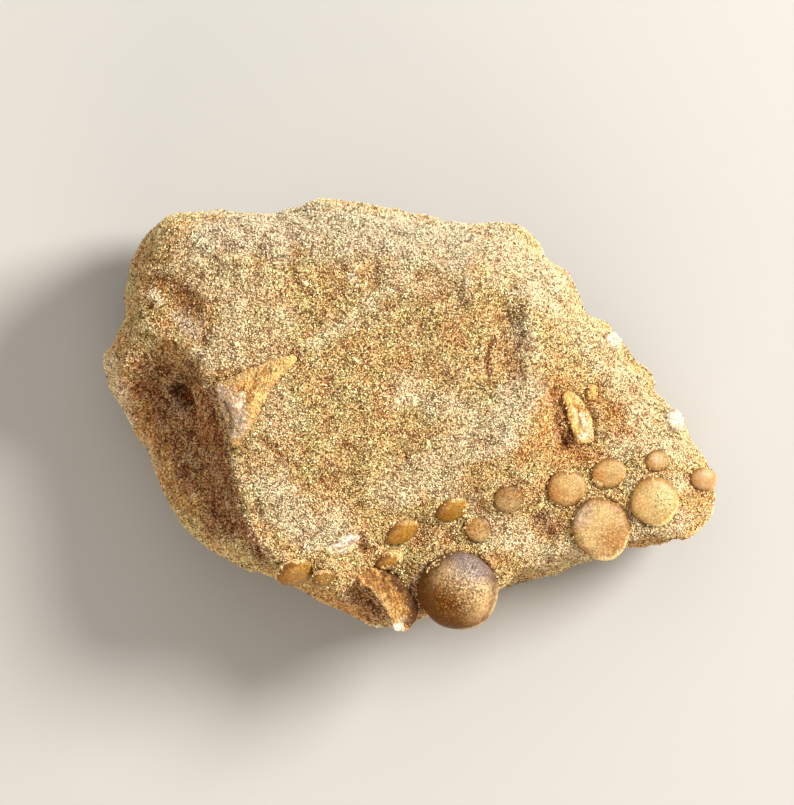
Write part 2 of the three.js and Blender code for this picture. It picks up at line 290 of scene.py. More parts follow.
def vectorMaths(tree, operation, first, second, output):
    node = addNode(tree, "ShaderNodeVectorMath", {0: first, 1: second}, operation=operation)
    return node.outputs[output]


def scaled(tree, vector, factor):
    inputs = {"Vector": vector, "Scale": factor}
    return addNode(tree, "ShaderNodeVectorMath", inputs, operation="SCALE").outputs["Vector"]


def channel(tree, colour, name):
    return addNode(tree, "ShaderNodeSeparateColor", {"Color": colour}).outputs[name]


def ranged(tree, value, low, high, toLow=0.0, toHigh=1.0):
    inputs = {"Value": value, "From Min": low, "From Max": high, "To Min": toLow, "To Max": toHigh}
    return addNode(tree, "ShaderNodeMapRange", inputs, interpolation_type="SMOOTHSTEP").outputs[0]


def painted(tree, name, output="Fac"):
    return addNode(tree, "ShaderNodeAttribute", attribute_name=name).outputs[output]


def places(tree):
    return addNode(tree, "ShaderNodeTexCoord").outputs["Object"]


def noiseAt(tree, vector, size, detail=2.0, roughness=0.55):
    inputs = {"Vector": vector, "Scale": 1 / size, "Detail": detail, "Roughness": roughness}
    return addNode(tree, "ShaderNodeTexNoise", inputs).outputs["Fac"]


def cellsAt(tree, vector, rate, feature="F1", randomness=1.0):
    # rate: how many cells to a metre
    inputs = {"Vector": vector, "Scale": rate, "Randomness": randomness}
    return addNode(tree, "ShaderNodeTexVoronoi", inputs, feature=feature)


def ramp(tree, value, stops):
    # stops: (place, colour) from low to high
    node = addNode(tree, "ShaderNodeValToRGB", {"Fac": value})
    marks = node.color_ramp.elements
    while len(marks) < len(stops):
        marks.new(0.5)
    for mark, (place, colour) in zip(marks, stops):
        mark.position = place
        mark.color = colour
    return node.outputs["Color"]


def shade(red, green, blue):
    # a display colour from 0 to 255 as the shader's linear colour
    def linear(value):
        value /= 255
        return value / 12.92 if value <= 0.04045 else ((value + 0.055) / 1.055) ** 2.4
    return (linear(red), linear(green), linear(blue), 1.0)


def newGroup(name, inputs, outputs):
    # inputs and outputs: (name, socket kind, starting value)
    tree = bpy.data.node_groups.new(name, "ShaderNodeTree")
    for direction, sockets in (("INPUT", inputs), ("OUTPUT", outputs)):
        for socketName, kind, start in sockets:
            socket = tree.interface.new_socket(socketName, in_out=direction, socket_type=kind)
            if start is not None:
                socket.default_value = start
    return tree, tree.nodes.new("NodeGroupInput"), tree.nodes.new("NodeGroupOutput")


def newMaterial(name, constants):
    # constants: values the same all over, set on the shader's own sockets
    material = bpy.data.materials.new(name)
    material.use_nodes = True
    tree = material.node_tree
    shader = tree.nodes["Principled BSDF"]
    for key, value in constants.items():
        shader.inputs[key].default_value = value
    return material, tree, shader


def connect(tree, shader, colour, roughness=None, height=None, depth=0.0):
    tree.links.new(colour, shader.inputs["Base Color"])
    if roughness is not None:
        tree.links.new(roughness, shader.inputs["Roughness"])
    if height is not None:
        inputs = {"Height": height, "Strength": 1.0, "Distance": depth}
        bump = addNode(tree, "ShaderNodeBump", inputs)
        tree.links.new(bump.outputs["Normal"], shader.inputs["Normal"])


floatSocket = "NodeSocketFloat"
colourSocket = "NodeSocketColor"


def makeStainAndShadeGroup():
    # the stain colours and a painted shade are painted on the rock and carried by its grains
    tree, given, out = newGroup("earthStainsAndShade", [
        ("Colour", colourSocket, None), ("Raggedness", floatSocket, 0.5),
    ], [("Colour", colourSocket, None)])
    base = given.outputs["Colour"]
    ragged = swung(tree, noiseAt(tree, places(tree), 1.6 * mm, 3.0, 0.6), given.outputs["Raggedness"])
    warmth = ranged(tree, noiseAt(tree, places(tree), 4.5 * mm, 3.0, 0.6), 0.38, 0.62)
    hue = mixed(tree, warmth, shade(255, 240, 226), shade(246, 249, 236))
    pale = addNode(tree, "ShaderNodeRGBToBW", {"Color": base}).outputs["Val"]
    colour = toned(tree, base, hue)
    for name, tint, blend, most in (
        # brown stain, and painted shade on the left flank, which faces away from the light, and in pits
        ("umberAndShade", shade(180, 116, 62), "MULTIPLY", ranged(tree, pale, 0.2, 0.65, 1.0, 0.6)),
        ("rust", shade(246, 198, 138), "MULTIPLY", 1.0),
        ("ash", shade(224, 226, 248), "MULTIPLY", 1.0),
        ("chalk", shade(238, 226, 196), "MIX", ranged(tree, pale, 0.08, 0.5, 0.12, 0.8)),
    ):
        amount = painted(tree, name)
        loose = times(tree, ragged, ranged(tree, amount, 0.0, 0.15))
        amount = maths(tree, "ADD", amount, loose, clamp=True)
        colour = mixed(tree, times(tree, amount, most), colour, tint, blend)
    tree.links.new(colour, out.inputs["Colour"])
    return tree


def makeSandGroup():
    # packed sand drawn in cells: a tone for each cell, the dark gaps, and a height
    tree, given, out = newGroup("packedSand", [
        ("Grain", floatSocket, 0.45 * mm),
    ], [("Tone", floatSocket, None), ("Gap", floatSocket, None), ("Height", floatSocket, None)])
    rate = maths(tree, "DIVIDE", 1.0, given.outputs["Grain"])
    cells = cellsAt(tree, places(tree), rate)
    edges = cellsAt(tree, places(tree), rate, feature="DISTANCE_TO_EDGE")
    tree.links.new(channel(tree, cells.outputs["Color"], "Red"), out.inputs["Tone"])
    tree.links.new(ranged(tree, edges.outputs["Distance"], 0.02, 0.16, 1.0, 0.0), out.inputs["Gap"])
    tree.links.new(minus(tree, 1.0, cells.outputs["Distance"]), out.inputs["Height"])
    return tree


def makeDustGroup():
    # pale dust and sand stuck where a smooth piece meets the rock
    tree, given, out = newGroup("clingingSand", [
        ("Colour", colourSocket, None), ("Nearness", floatSocket, 0.0),
        ("Sand", colourSocket, shade(214, 178, 120)),
    ], [("Colour", colourSocket, None), ("Amount", floatSocket, None)])
    specks = noiseAt(tree, places(tree), 0.42 * mm, 1.0)
    reach = plus(tree, given.outputs["Nearness"], minus(tree, specks, 0.5))
    amount = ranged(tree, reach, 0.5, 0.62)
    tone = ranged(tree, noiseAt(tree, places(tree), 0.3 * mm, 1.0), 0.3, 0.7, 0.45, 1.15)
    sand = toned(tree, given.outputs["Sand"], tone)
    tree.links.new(mixed(tree, amount, given.outputs["Colour"], sand), out.inputs["Colour"])
    tree.links.new(amount, out.inputs["Amount"])
    return tree


stainAndShadeGroup = makeStainAndShadeGroup()
sandGroup = makeSandGroup()
dustGroup = makeDustGroup()


def crownFrame(name):
    # where a tooth sits: centre of the rim, its three directions and half sizes, the
    # dome's height and how deep the root goes
    corners = pointsOf(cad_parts[name].data)
    spread = corners - corners.mean(0)
    axes = np.linalg.svd(spread, full_matrices=False)[2]
    axes[2] *= np.sign(axes[2][2])
    axes[0] *= np.sign(axes[0][0])
    axes[1] = np.cross(axes[2], axes[0])
    local = spread @ axes.T
    widest = np.linalg.norm(local[:, :2], axis=1)
    rim = local[widest > 0.9 * widest.max()][:, 2]
    centre = corners.mean(0) + axes[2] * np.median(rim)
    local = (corners - centre) @ axes.T
    return {
        "centre": centre, "axes": axes, "half": np.abs(local[:, :2]).max(0),
        "dome": local[:, 2].max(), "depth": -local[:, 2].min(),
    }


crownFrames = {name: crownFrame(name) for name in inlayNames if name.startswith("tooth")}


def onCrown(points, seat):
    # distance from the crown's middle as a share of the rim's, and height over the rim
    local = (points - seat["centre"]) @ seat["axes"].T
    share = np.linalg.norm(local[:, :2] / seat["half"], axis=1)
    return share, local[:, 2]


# The rock: its shape, then its colours from dark to light, in the gaps, and a painted shade for the hollows.
rockLook = {
    "voxel": 0.55,           # mm between points of the fine surface
    "evenRounds": 16,        # rounds of evening, which take out the coarse facets
    "seam": 0.62,            # rock this near a tooth or bone is drawn up to it, mm
    "waist": 15,             # height of the widest line, mm
    "trim": 0.08,            # taken off all over, as grains are laid on, mm
    "lumps": [(7, 0.34), (3.4, 0.3), (1.7, 0.24), (0.95, 0.1)],  # size, height, mm
    "facetSize": 7.0,        # mm across the chipped facets of the sides
    "facetTilt": 0.17,       # how far a facet tips
    "pits": (2.7, 0.5),      # spacing and depth of small hollows, mm
    "bank": (0.04, 0.22),    # sand stands this far over a tooth's rim, give or take, mm
    "bankReach": 2.2,        # how far out from the rim it is brought level, mm
    "bankShift": (2.8, 1.3),  # the most that it goes down or up for that, mm
    # the sides pushed out or in: compass way from the middle, spread, mm
    "outline": [
        (13, 3.5, -1.3), (4, 2.5, -1.0), (355, 4, -0.6), (27, 2.5, -0.5), (88, 4, -0.4), (118, 3, -0.4),
        (142, 4, 1.0), (156, 3, 0.5), (182, 3, 0.5), (189, 2.5, -0.9), (284, 9, -0.45), (307, 5, -0.6),
        (318, 2.5, -0.6), (326, 2, -0.5), (331, 2.4, 1.1), (337, 2, -0.7),
    ],
    # edges and hollows: places in mm from the middle, half width, height in mm
    "folds": [
        ([(-45, 15), (-39, 13.6), (-35.6, 9.6), (-32.6, 3), (-30.2, -4), (-28.6, -13),
          (-26.4, -20.6), (-21, -24.6), (-14, -27)], 1.3, 1.05),
        ([(-3.4, 28.6), (6, 24.6), (13, 22.4), (20, 20.6)], 1.4, 0.6),
        ([(20.4, 20.6), (21, 14), (20.8, 6.4)], 1.6, 0.6),
        ([(8, -8.6), (13, -6.4), (17.5, -3.6)], 1.8, 0.5),
        ([(-39.9, 3.8), (-38.4, 2.4)], 1.4, -2.2), ([(-43, 7.4), (-40, 7)], 1.2, -0.8),
        ([(-39.3, 6.4), (-36.9, 1.1), (-37.8, -3.8)], 0.8, -1.1),
        ([(-36, -8), (-34, -14), (-31, -19)], 1.5, -0.7),
        ([(-43, -1), (-40.6, -8), (-37.6, -14)], 1.6, 0.7),
        ([(-45.5, 22.4), (-41.4, 22), (-37, 19.6)], 1.9, -0.9), ([(-44, 20.4), (-42.6, 19.4)], 1.1, 0.6),
        ([(-33, 24), (-30, 25)], 1.6, -0.4), ([(-21, 32), (-19.4, 27)], 1.3, -0.5),
        ([(-26, 20), (-22, 23)], 1.8, 0.35), ([(-40, 30.4), (-36, 30)], 1.8, 0.4),
        ([(-46, 25), (-42, 24.4), (-37, 25.6)], 1.4, 0.5),
        ([(-46, 17.4), (-41, 17.2), (-36.4, 14.8)], 1.5, 0.7),
        ([(24.6, 3.8), (25.8, -0.4), (26.6, -5)], 1.0, -1.6),
        ([(30.6, 3.2), (31.8, 0), (32, -3.6)], 0.9, 1.6),
        ([(13.8, 12.8), (12.8, 9.6), (13.3, 6.8)], 0.6, -0.8),
        ([(-8.6, -20.6), (-7.9, -22.8)], 1.1, -1.2),
        ([(-25.8, -22.4), (-25.4, -24.2)], 0.8, -0.9),
        ([(-9.4, -30), (-7, -32.4), (-5.6, -34.6)], 1.8, -1.2),
        ([(-17.5, -22.6), (-12, -23.4), (-7, -21.4), (-3, -18)], 1.3, 0.5),
        ([(-28, 32), (-25.4, 27.4), (-26.4, 24)], 1.3, -0.5),
        ([(24, 24), (27.6, 18), (31, 12), (34, 6)], 1.6, 0.5),
    ],
    "sandSize": 0.28,        # mm across the cells between the loose grains
    "tones": [(0.0, shade(80, 52, 20)), (0.34, shade(126, 90, 44)), (0.54, shade(190, 160, 102)),
              (1.0, shade(228, 208, 150))],
    "gap": shade(68, 42, 14), "hollow": shade(92, 58, 30),
}
# Stains and a painted shade, painted on the upper side: places in mm from the middle, half width, amount.
stainsAndShade = {
    "rust": [
        ([(5, 19), (14, 14), (17, 10)], 5, 0.15), ([(24, 3), (30, 1), (35, -1)], 4.4, 0.5),
        ([(-51, 12), (-49, 4), (-47, 0)], 3, 0.4), ([(22, -4), (26, -7), (31, -8)], 2.6, 0.45),
        ([(-12, -19), (2, -14.5), (12, -10.5), (19, -6)], 2.6, 0.2), ([(-33, 7), (-28, 7.4)], 1.4, 0.5),
        ([(-36.4, 2.4), (-34, -5)], 2.4, 0.5), ([(10.4, -13.4), (12.6, -16.4)], 1.6, 0.35),
        ([(-44, 22), (-40, 18)], 4, 0.12), ([(21, 6), (23.4, 1), (25, -5)], 2.6, 0.45),
        ([(20, -17), (24, -19), (27, -15)], 2.4, 0.35), ([(8, -24), (16, -25), (20, -23)], 2, 0.25),
        ([(34, -25), (44, -21), (50, -15)], 3, 0.4), ([(-3, 8), (3, 9)], 3, 0.25),
        ([(-24, -29), (-14, -32), (-8, -36)], 3, 0.5), ([(-46, 3), (-43, -6), (-38, -15)], 3.4, 0.5),
        ([(-36, -12), (-33, -20)], 3, 0.3), ([(-45, 26), (-42, 18), (-40, 12)], 3, 0.3),
        ([(-40, 24), (-36.4, 19)], 2.4, 0.15), ([(-20.6, 32), (-19.6, 28)], 1.6, 0.4),
        ([(22.6, -4), (19, -7.4)], 1.8, 0.6), ([(31.5, 4), (34, 6)], 1.6, 0.5),
    ],
    "chalk": [
        ([(-24, -12), (-20, -18), (-13, -20)], 4.5, 0.52), ([(-33, 12), (-30, 10)], 2.4, 0.5),
        ([(-26, 21), (-23, 14), (-25, 4), (-22, -2)], 4.5, 0.3), ([(11, -18.6), (19, -20)], 3, 0.45),
        ([(4, -12), (9, -15)], 3, 0.45), ([(4, -27), (9, -27.4)], 2.4, 0.4),
        ([(31, -21), (36, -21)], 2.4, 0.4), ([(19, 14), (21, 11)], 2.6, 0.35),
        ([(45, 1), (48, -2)], 2.4, 0.4),
        ([(-34, 30), (-20, 32), (-4, 31), (14, 29), (24, 22)], 5, 0.6),
        ([(18, -22), (24, -24), (28, -24)], 2.4, 0.45),
        ([(24, 22), (29, 14), (34, 8), (42, -2)], 4, 0.3), ([(17, -3), (15, -1)], 2.4, 0.7),
        ([(-53, 12), (-51.5, 5), (-49, 0)], 2.6, 0.6), ([(-37, 27), (-30, 21), (-30, 14)], 4, 0.4),
        ([(-2, 4), (6, 2), (12, -2)], 3.4, 0.5), ([(16.4, -22), (20.4, -21.2)], 1.6, 0.6),
        ([(23.2, -22.4), (23.4, -23.4)], 0.5, 1.0), ([(25.4, -22.2), (27, -23.2)], 0.5, 1.0),
        ([(-35.6, 10.6), (-33.4, 8.6)], 1.2, 0.7), ([(-43.8, 20.8), (-42.4, 19.2)], 1.1, 0.7),
        ([(-40, 16.6), (-36, 13.4)], 1.2, 0.5),
        ([(8, -4), (14, -2), (20, 4)], 3.2, 0.5), ([(-10, -36.8), (-5, -37)], 1.3, 0.9),
        ([(-4, -13), (6, -8), (13, -5)], 3.8, 0.42), ([(-16, 12), (-8, 18), (0, 24)], 1.6, 0.4),
        ([(-4, 24), (4, 21), (8, 22)], 4, 0.3), ([(36, -5), (46, -6)], 3, 0.42),
        ([(37, -12), (46, -12)], 2, 0.42), ([(38, -19), (46, -18)], 2.4, 0.42),
        ([(-10, 23.5)], 0.9, 1.0), ([(9.4, 22.3)], 0.8, 1.0), ([(31.8, 7.8)], 0.8, 1.0),
        ([(35.4, 8.1)], 1.0, 1.0), ([(-3.4, 21)], 0.7, 1.0), ([(27.2, -21.4)], 0.7, 1.0),
        ([(-46, -5), (-44, -9)], 1.4, 0.4),
    ],
    # brown stain, and painted shade on the left flank, in pits and in the groove beside the blade
    "umberAndShade": [
        ([(-37.8, 8.6), (-34.4, 2.6), (-32.4, -4.2), (-31, -11), (-29.2, -17.8), (-24.8, -24.4)], 1.4, 0.95),
        ([(-41.5, 8), (-37.4, 2), (-35.4, -4.6), (-34, -11.4), (-31.8, -18)], 3, 0.85),
        ([(-45.4, 7), (-42, 1), (-39.6, -5), (-37.4, -10)], 3.4, 0.8),
        ([(-39.9, 3.8), (-38.4, 2.4)], 1.5, 1.0), ([(24.8, 3), (26.2, -4.6)], 1.2, 0.5),
        ([(-9.6, -30), (-5.4, -33.6)], 2.6, 0.8), ([(-42, 25), (-37, 20), (-36.4, 16)], 2.6, 0.5),
        ([(-25.8, -22.4), (-25.4, -24.2)], 0.9, 0.9), ([(17.5, 17), (17.8, 9)], 2.6, 0.22),
        ([(22.6, -17.4), (24.6, -19.4)], 1.5, 0.5), ([(-32.1, 30.2), (-31.4, 29.4), (-32, 28.8)], 0.4, 0.9),
        ([(25.7, 3.8), (26.6, 0), (27.3, -4.6)], 0.45, 1.0), ([(24.6, -2.8), (26.4, -5.4)], 0.9, 0.9),
        ([(-19.6, 10.8), (-18.8, 9.6)], 0.7, 0.9), ([(13.6, 12.4), (12.8, 9.6), (13.2, 7.2)], 0.4, 0.9),
        ([(1.2, -29.2), (1.9, -31.2), (1.8, -33)], 1.3, 1.0), ([(-8.6, -20.6), (-7.9, -22.8)], 0.9, 0.9),
    ],
    "ash": [
        ([(-32, 31), (-22, 32), (-8, 31), (8, 29)], 5, 0.8), ([(18, 20), (19, 10), (17, 2)], 2.4, 0.4),
        ([(22.6, -17.4), (25, -19.6)], 1.8, 0.9), ([(-26, -10), (-22, -16), (-16, -19)], 4, 0.35),
        ([(-38, 16), (-36, 13)], 2.4, 0.6), ([(0, 14), (8, 6)], 2.6, 0.25),
        ([(-12, 22), (-4, 17)], 1.6, 0.4),
    ],
}


def chipped(points, size, tilt):
    # every cell of a loose mosaic becomes one tipped plane, as on broken rock
    heights = []
    for p in points:
        at = Vector(p) / size
        middle = noise.voronoi(at)[1][0]
        lean = noise.cell_vector(middle * 13.7) - Vector((0.5, 0.5, 0.5))
        heights.append((at - middle).dot(lean))
    return np.array(heights) * size * tilt * 2


def roughSurface(points, normals, near, look):
    # how far each point moves along its normal: least along the rock's widest line
    side = smoothStep(-normals[:, 2], -0.7, 0.1)
    loose = smoothStep(near / mm, 0.3, 2.4)
    waist = np.exp(-((points[:, 2] / mm - look["waist"]) / 5) ** 2) * smoothStep(-normals[:, 2], -0.6, -0.2)
    out = strokes(points, np.zeros(3), look["folds"], 0.25) * mm * (1 - side)
    for number, (size, height) in enumerate(look["lumps"]):
        out += noiseOver(points, size * mm, number + 1) * height * mm * (1 + 0.2 * side)
    spacing, depth = look["pits"]
    pits = smoothStep(noiseOver(points, spacing * mm, 9), 0.22, 0.55)
    out -= pits * depth * mm
    around = np.degrees(np.arctan2(points[:, 1] / mm - 1, points[:, 0] / mm + 1))
    upright = smoothStep(1 - np.abs(normals[:, 2]), 0.2, 0.7)
    trim = np.zeros(len(points))
    for way, spread, amount in look["outline"]:
        trim += amount * mm * towards(around, way, spread) * upright
    out += (0.25 + 0.4 * side) * chipped(points, look["facetSize"] * mm, look["facetTilt"])
    return (out * (1 - 0.65 * waist) - look["trim"] * mm + trim) * (0.12 + 0.88 * loose)


def seated(points, look):
    # the sand round each tooth is brought level with the tooth's rim
    swing = noiseOver(points, 1.5 * mm, 12)
    rise, giveOrTake = look["bank"]
    deepest, highest = look["bankShift"]
    for seat in crownFrames.values():
        share, height = onCrown(points, seat)
        outside = (share - 1) * seat["half"].mean() / mm
        close = np.where(outside > -0.4, 1 - smoothStep(outside, 0.2, look["bankReach"]), 0)
        shallow = smoothStep(height / mm, -3.6, -1.6) * (height < 4 * mm)
        target = (rise + giveOrTake * swing) * mm
        shift = np.clip(target - height, -deepest * mm, highest * mm) * close * shallow
        points = points + shift[:, None] * seat["axes"][2]
    return points


def makeRock(look):
    piece = remeshed(mergedCopy("rock_matrix", "sandy_rock"), look["voxel"] * mm)
    mesh = piece.data
    points, edges = pointsOf(mesh), edgesOf(mesh)
    tree = surfaceTree(inlayNames)
    near = nearestOn(tree, points)[1]
    aboveBase = smoothStep(points[:, 2] / mm, 0.3, 1.5)
    weights = smoothStep(near / mm, 0.5, 2.2) * aboveBase
    soft = evened(points, edges, weights, look["evenRounds"])
    # the corners that the evening wore away are put back
    points = soft + evened(points - soft, edges, weights, look["evenRounds"])
    setPoints(mesh, points)
    normals = normalsOf(mesh)
    out = roughSurface(points, normals, near, look) * aboveBase
    points = seated(points + normals * out[:, None], look)
    points = evened(points, edges, weights, 1)
    touch, gap = nearestOn(tree, points)
    seam = look["seam"] * mm
    drawn = np.clip((gap - 0.5 * seam) / (0.5 * seam), 0, 1) * seam
    share = np.where(gap < seam, drawn / np.maximum(gap, 1e-9), 1.0)
    points = touch + (points - touch) * share[:, None]
    points[:, 2] = np.where(aboveBase > 0, np.maximum(points[:, 2], 0), 0)
    setPoints(mesh, points)
    smoothShaded(mesh)
    return piece, edges


def paintRock(mesh, edges):
    points, normals = pointsOf(mesh), normalsOf(mesh)
    near = nearestOn(surfaceTree(inlayNames), points)[1] / mm
    soft = evened(points, edges, np.ones(len(points)), 8)
    swell = ((points - soft) * normals).sum(1) / mm * smoothStep(near, 0.4, 1.4)
    top = smoothStep(normals[:, 2], -0.45, 0.1)
    sides = sideStains(points)
    # rust gathers in the hollows and chalk on what stands out
    relief = {"rust": 0.32 * smoothStep(-swell, 0.03, 0.2), "chalk": 0.22 * smoothStep(swell, 0.03, 0.16)}
    for name, marks in stainsAndShade.items():
        cover = strokes(points, np.zeros(3), marks) * top + sides[name] * (1 - top)
        paint(mesh, name, cover + relief.get(name, 0))
    paint(mesh, "swell", swell)
    sandy = smoothStep(near, 0.05, 0.16) * smoothStep(points[:, 2] / mm, 0.25, 0.5)
    paint(mesh, "sandy", sandy * np.where(normals[:, 2] > 0.1, 1.0, 0.8))


def sideStains(points):
    # the stains on the sides are left to chance
    drift = noiseOver(points, 9 * mm, 21)
    return {
        "rust": 0.18 + 0.45 * smoothStep(drift, 0.0, 0.5),
        "chalk": 0.4 * smoothStep(-drift, 0.1, 0.5),
        "umberAndShade": 0.1 + 0.4 * smoothStep(noiseOver(points, 14 * mm, 5), -0.1, 0.4),
        "ash": np.zeros(len(points)),
    }


def makeRockMaterial(look):
    material, tree, shader = newMaterial("sandyBinder", {"Roughness": 0.92})
    sand = useGroup(tree, sandGroup, {"Grain": look["sandSize"] * mm})
    colour = ramp(tree, sand.outputs["Tone"], look["tones"])
    colour = mixed(tree, times(tree, sand.outputs["Gap"], 0.95), colour, look["gap"])
    # painted shade: darker where the surface sinks into a hollow
    hollow = ranged(tree, painted(tree, "swell"), 0.02, -0.14)
    colour = mixed(tree, times(tree, hollow, 0.5), colour, look["hollow"])
    stained = useGroup(tree, stainAndShadeGroup, {"Colour": colour, "Raggedness": 0.6})
    connect(tree, shader, stained.outputs["Colour"], height=sand.outputs["Height"], depth=0.1 * mm)
    return material


def mapRock(mesh):
    # the upper faces are mapped from above, the sides as one unrolled band and the
    # flat underside from below: the top, middle and bottom parts of the square
    points = pointsOf(mesh)
    corners = np.empty(len(mesh.loops), np.int32)
    mesh.loops.foreach_get("vertex_index", corners)
    faceNormals = np.array([face.normal for face in mesh.polygons])
    faceOf = np.repeat(np.arange(len(mesh.polygons)), [face.loop_total for face in mesh.polygons])
    middles = np.array([face.center for face in mesh.polygons])
    spots = points[corners]
    size = np.array(boxHigh - boxLow) * 1.06
    upper = np.stack([0.5 + spots[:, 0] / size[0], (0.5 + spots[:, 1] / size[1]) * 0.55 + 0.44], 1)
    turn = np.arctan2(spots[:, 1], spots[:, 0])
    home = np.arctan2(middles[:, 1], middles[:, 0])[faceOf]
    turn = home + (turn - home + math.pi) % (2 * math.pi) - math.pi
    band = np.stack([0.03 + (turn / math.pi + 1) * 0.47, spots[:, 2] / size[2] * 0.24 + 0.18], 1)
    under = np.stack([(0.5 + spots[:, 0] / size[0]) * 0.26, (0.5 + spots[:, 1] / size[1]) * 0.16], 1)
    rise = faceNormals[faceOf, 2][:, None]
    low = middles[faceOf, 2][:, None] < 0.2 * mm
    spread = np.where(rise > 0.3, upper, np.where(low & (rise < -0.6), under, band))
    layer = mesh.uv_layers.new(name="OFBake", do_init=False)
    layer.uv.foreach_set("vector", np.clip(spread, 0.001, 0.999).astype(np.float32).ravel())


rock, rockEdges = makeRock(rockLook)
paintRock(rock.data, rockEdges)
mapRock(rock.data)
finished(rock, makeRockMaterial(rockLook), ["rock_matrix"])
print("rock made:", len(rock.data.polygons), "faces")


# The teeth. plainTooth holds what a tooth's own row leaves out.
# finish: which enamel; levels: how finely the crown is rounded; squareness: 2 is a
# plain dome, more is a flatter top with a tighter rim; tone: how dark beside others of
# its kind; cling: how many grains stick along the rim; dust: how much of the rim is
# dusty; wander: share by which the rim is uneven; broad and fine: height of the lumps on
# the crown, mm; bulges: compass way, spread and share by which the rim swells; tick:
# strokes of a fine dark mark; sand: strokes where the sand has crept over the rim. Places
# are in mm from the tooth's middle.
plainTooth = {
    "levels": 2, "squareness": 3, "tone": 1.0, "cling": 0.35, "dust": 1.0, "wander": 0.045,
    "broad": 0.1, "fine": 0.06, "bulges": [], "tick": [], "sand": [],
}
toothLooks = {
    "tooth_large_dark": {
        "finish": "dark", "levels": 3, "squareness": 2.1, "cling": 0, "dust": 0.2,
        "bulges": [(55, 26, -0.05), (-48, 28, 0.04), (180, 30, 0.03)],
        "tick": [([(1.5, 0.5), (2.5, -0.6)], 0.16, 0.9)],
        "sand": [([(-6.9, 3.4), (-5.1, 5.4), (-2.2, 6.9)], 1.1, 1.0), ([(0.2, 6.9), (1.4, 6.6)], 0.4, 0.7)],
    },
    "tooth_large_tan": {"finish": "tan", "levels": 3, "squareness": 3.3, "cling": 0.12},
    "tooth_large_pitted": {"finish": "pitted", "levels": 3, "squareness": 3.1, "cling": 0.2},
    "tooth_ledge_left": {
        "finish": "gold", "squareness": 3.1, "sand": [([(-2, 2.8), (1.4, 3.1)], 0.4, 0.8)],
    },
    "tooth_ledge_upper": {
        "finish": "gold", "squareness": 3.1, "sand": [([(-2.6, -1.3), (-1.4, -2.2)], 0.4, 0.8)],
    },
    "tooth_ledge_small": {"finish": "gold", "tone": 0.84, "squareness": 2.5},
    "tooth_right_tip": {"finish": "smooth", "tone": 0.9, "squareness": 2.3},
    "tooth_slope_lower": {
        "finish": "arced", "tone": 0.92, "sand": [([(-2, 1.2), (-0.6, 2.2)], 0.5, 0.8)],
    },
    "tooth_slope_right": {
        "finish": "arced", "tone": 0.86, "sand": [([(-1, 2.2), (1, 2.4)], 0.3, 0.7)],
    },
    "tooth_slope_middle": {
        "finish": "amber", "squareness": 2.4,
        "sand": [([(0, 1.6), (2.6, 2.2)], 0.7, 1.0), ([(2.6, 0.6), (2.2, -0.4)], 0.5, 0.8)],
    },
    "tooth_slope_left": {"finish": "amber", "squareness": 2.4},
    "tooth_buried_middle": {
        "finish": "amber", "tone": 0.85, "squareness": 2.3,
        "sand": [([(0.6, 0.9), (1.8, 0.9), (2, 0)], 0.6, 1.0), ([(-1.2, -1.2), (0.6, -0.9)], 0.4, 0.8)],
    },
    "tooth_buried_left": {
        "finish": "amber", "tone": 0.92, "squareness": 2.4,
        "sand": [([(-2.4, 1), (-0.4, 1.7), (1.4, 2)], 0.5, 0.9)],
    },
    "tooth_buried_small": {
        "finish": "amber", "tone": 0.75, "squareness": 2.3,
        "sand": [([(-1, 0.6), (0.4, 1), (1.6, 0.8)], 0.4, 0.8), ([(-0.6, -0.7), (1, -0.4)], 0.3, 0.5)],
    },
}
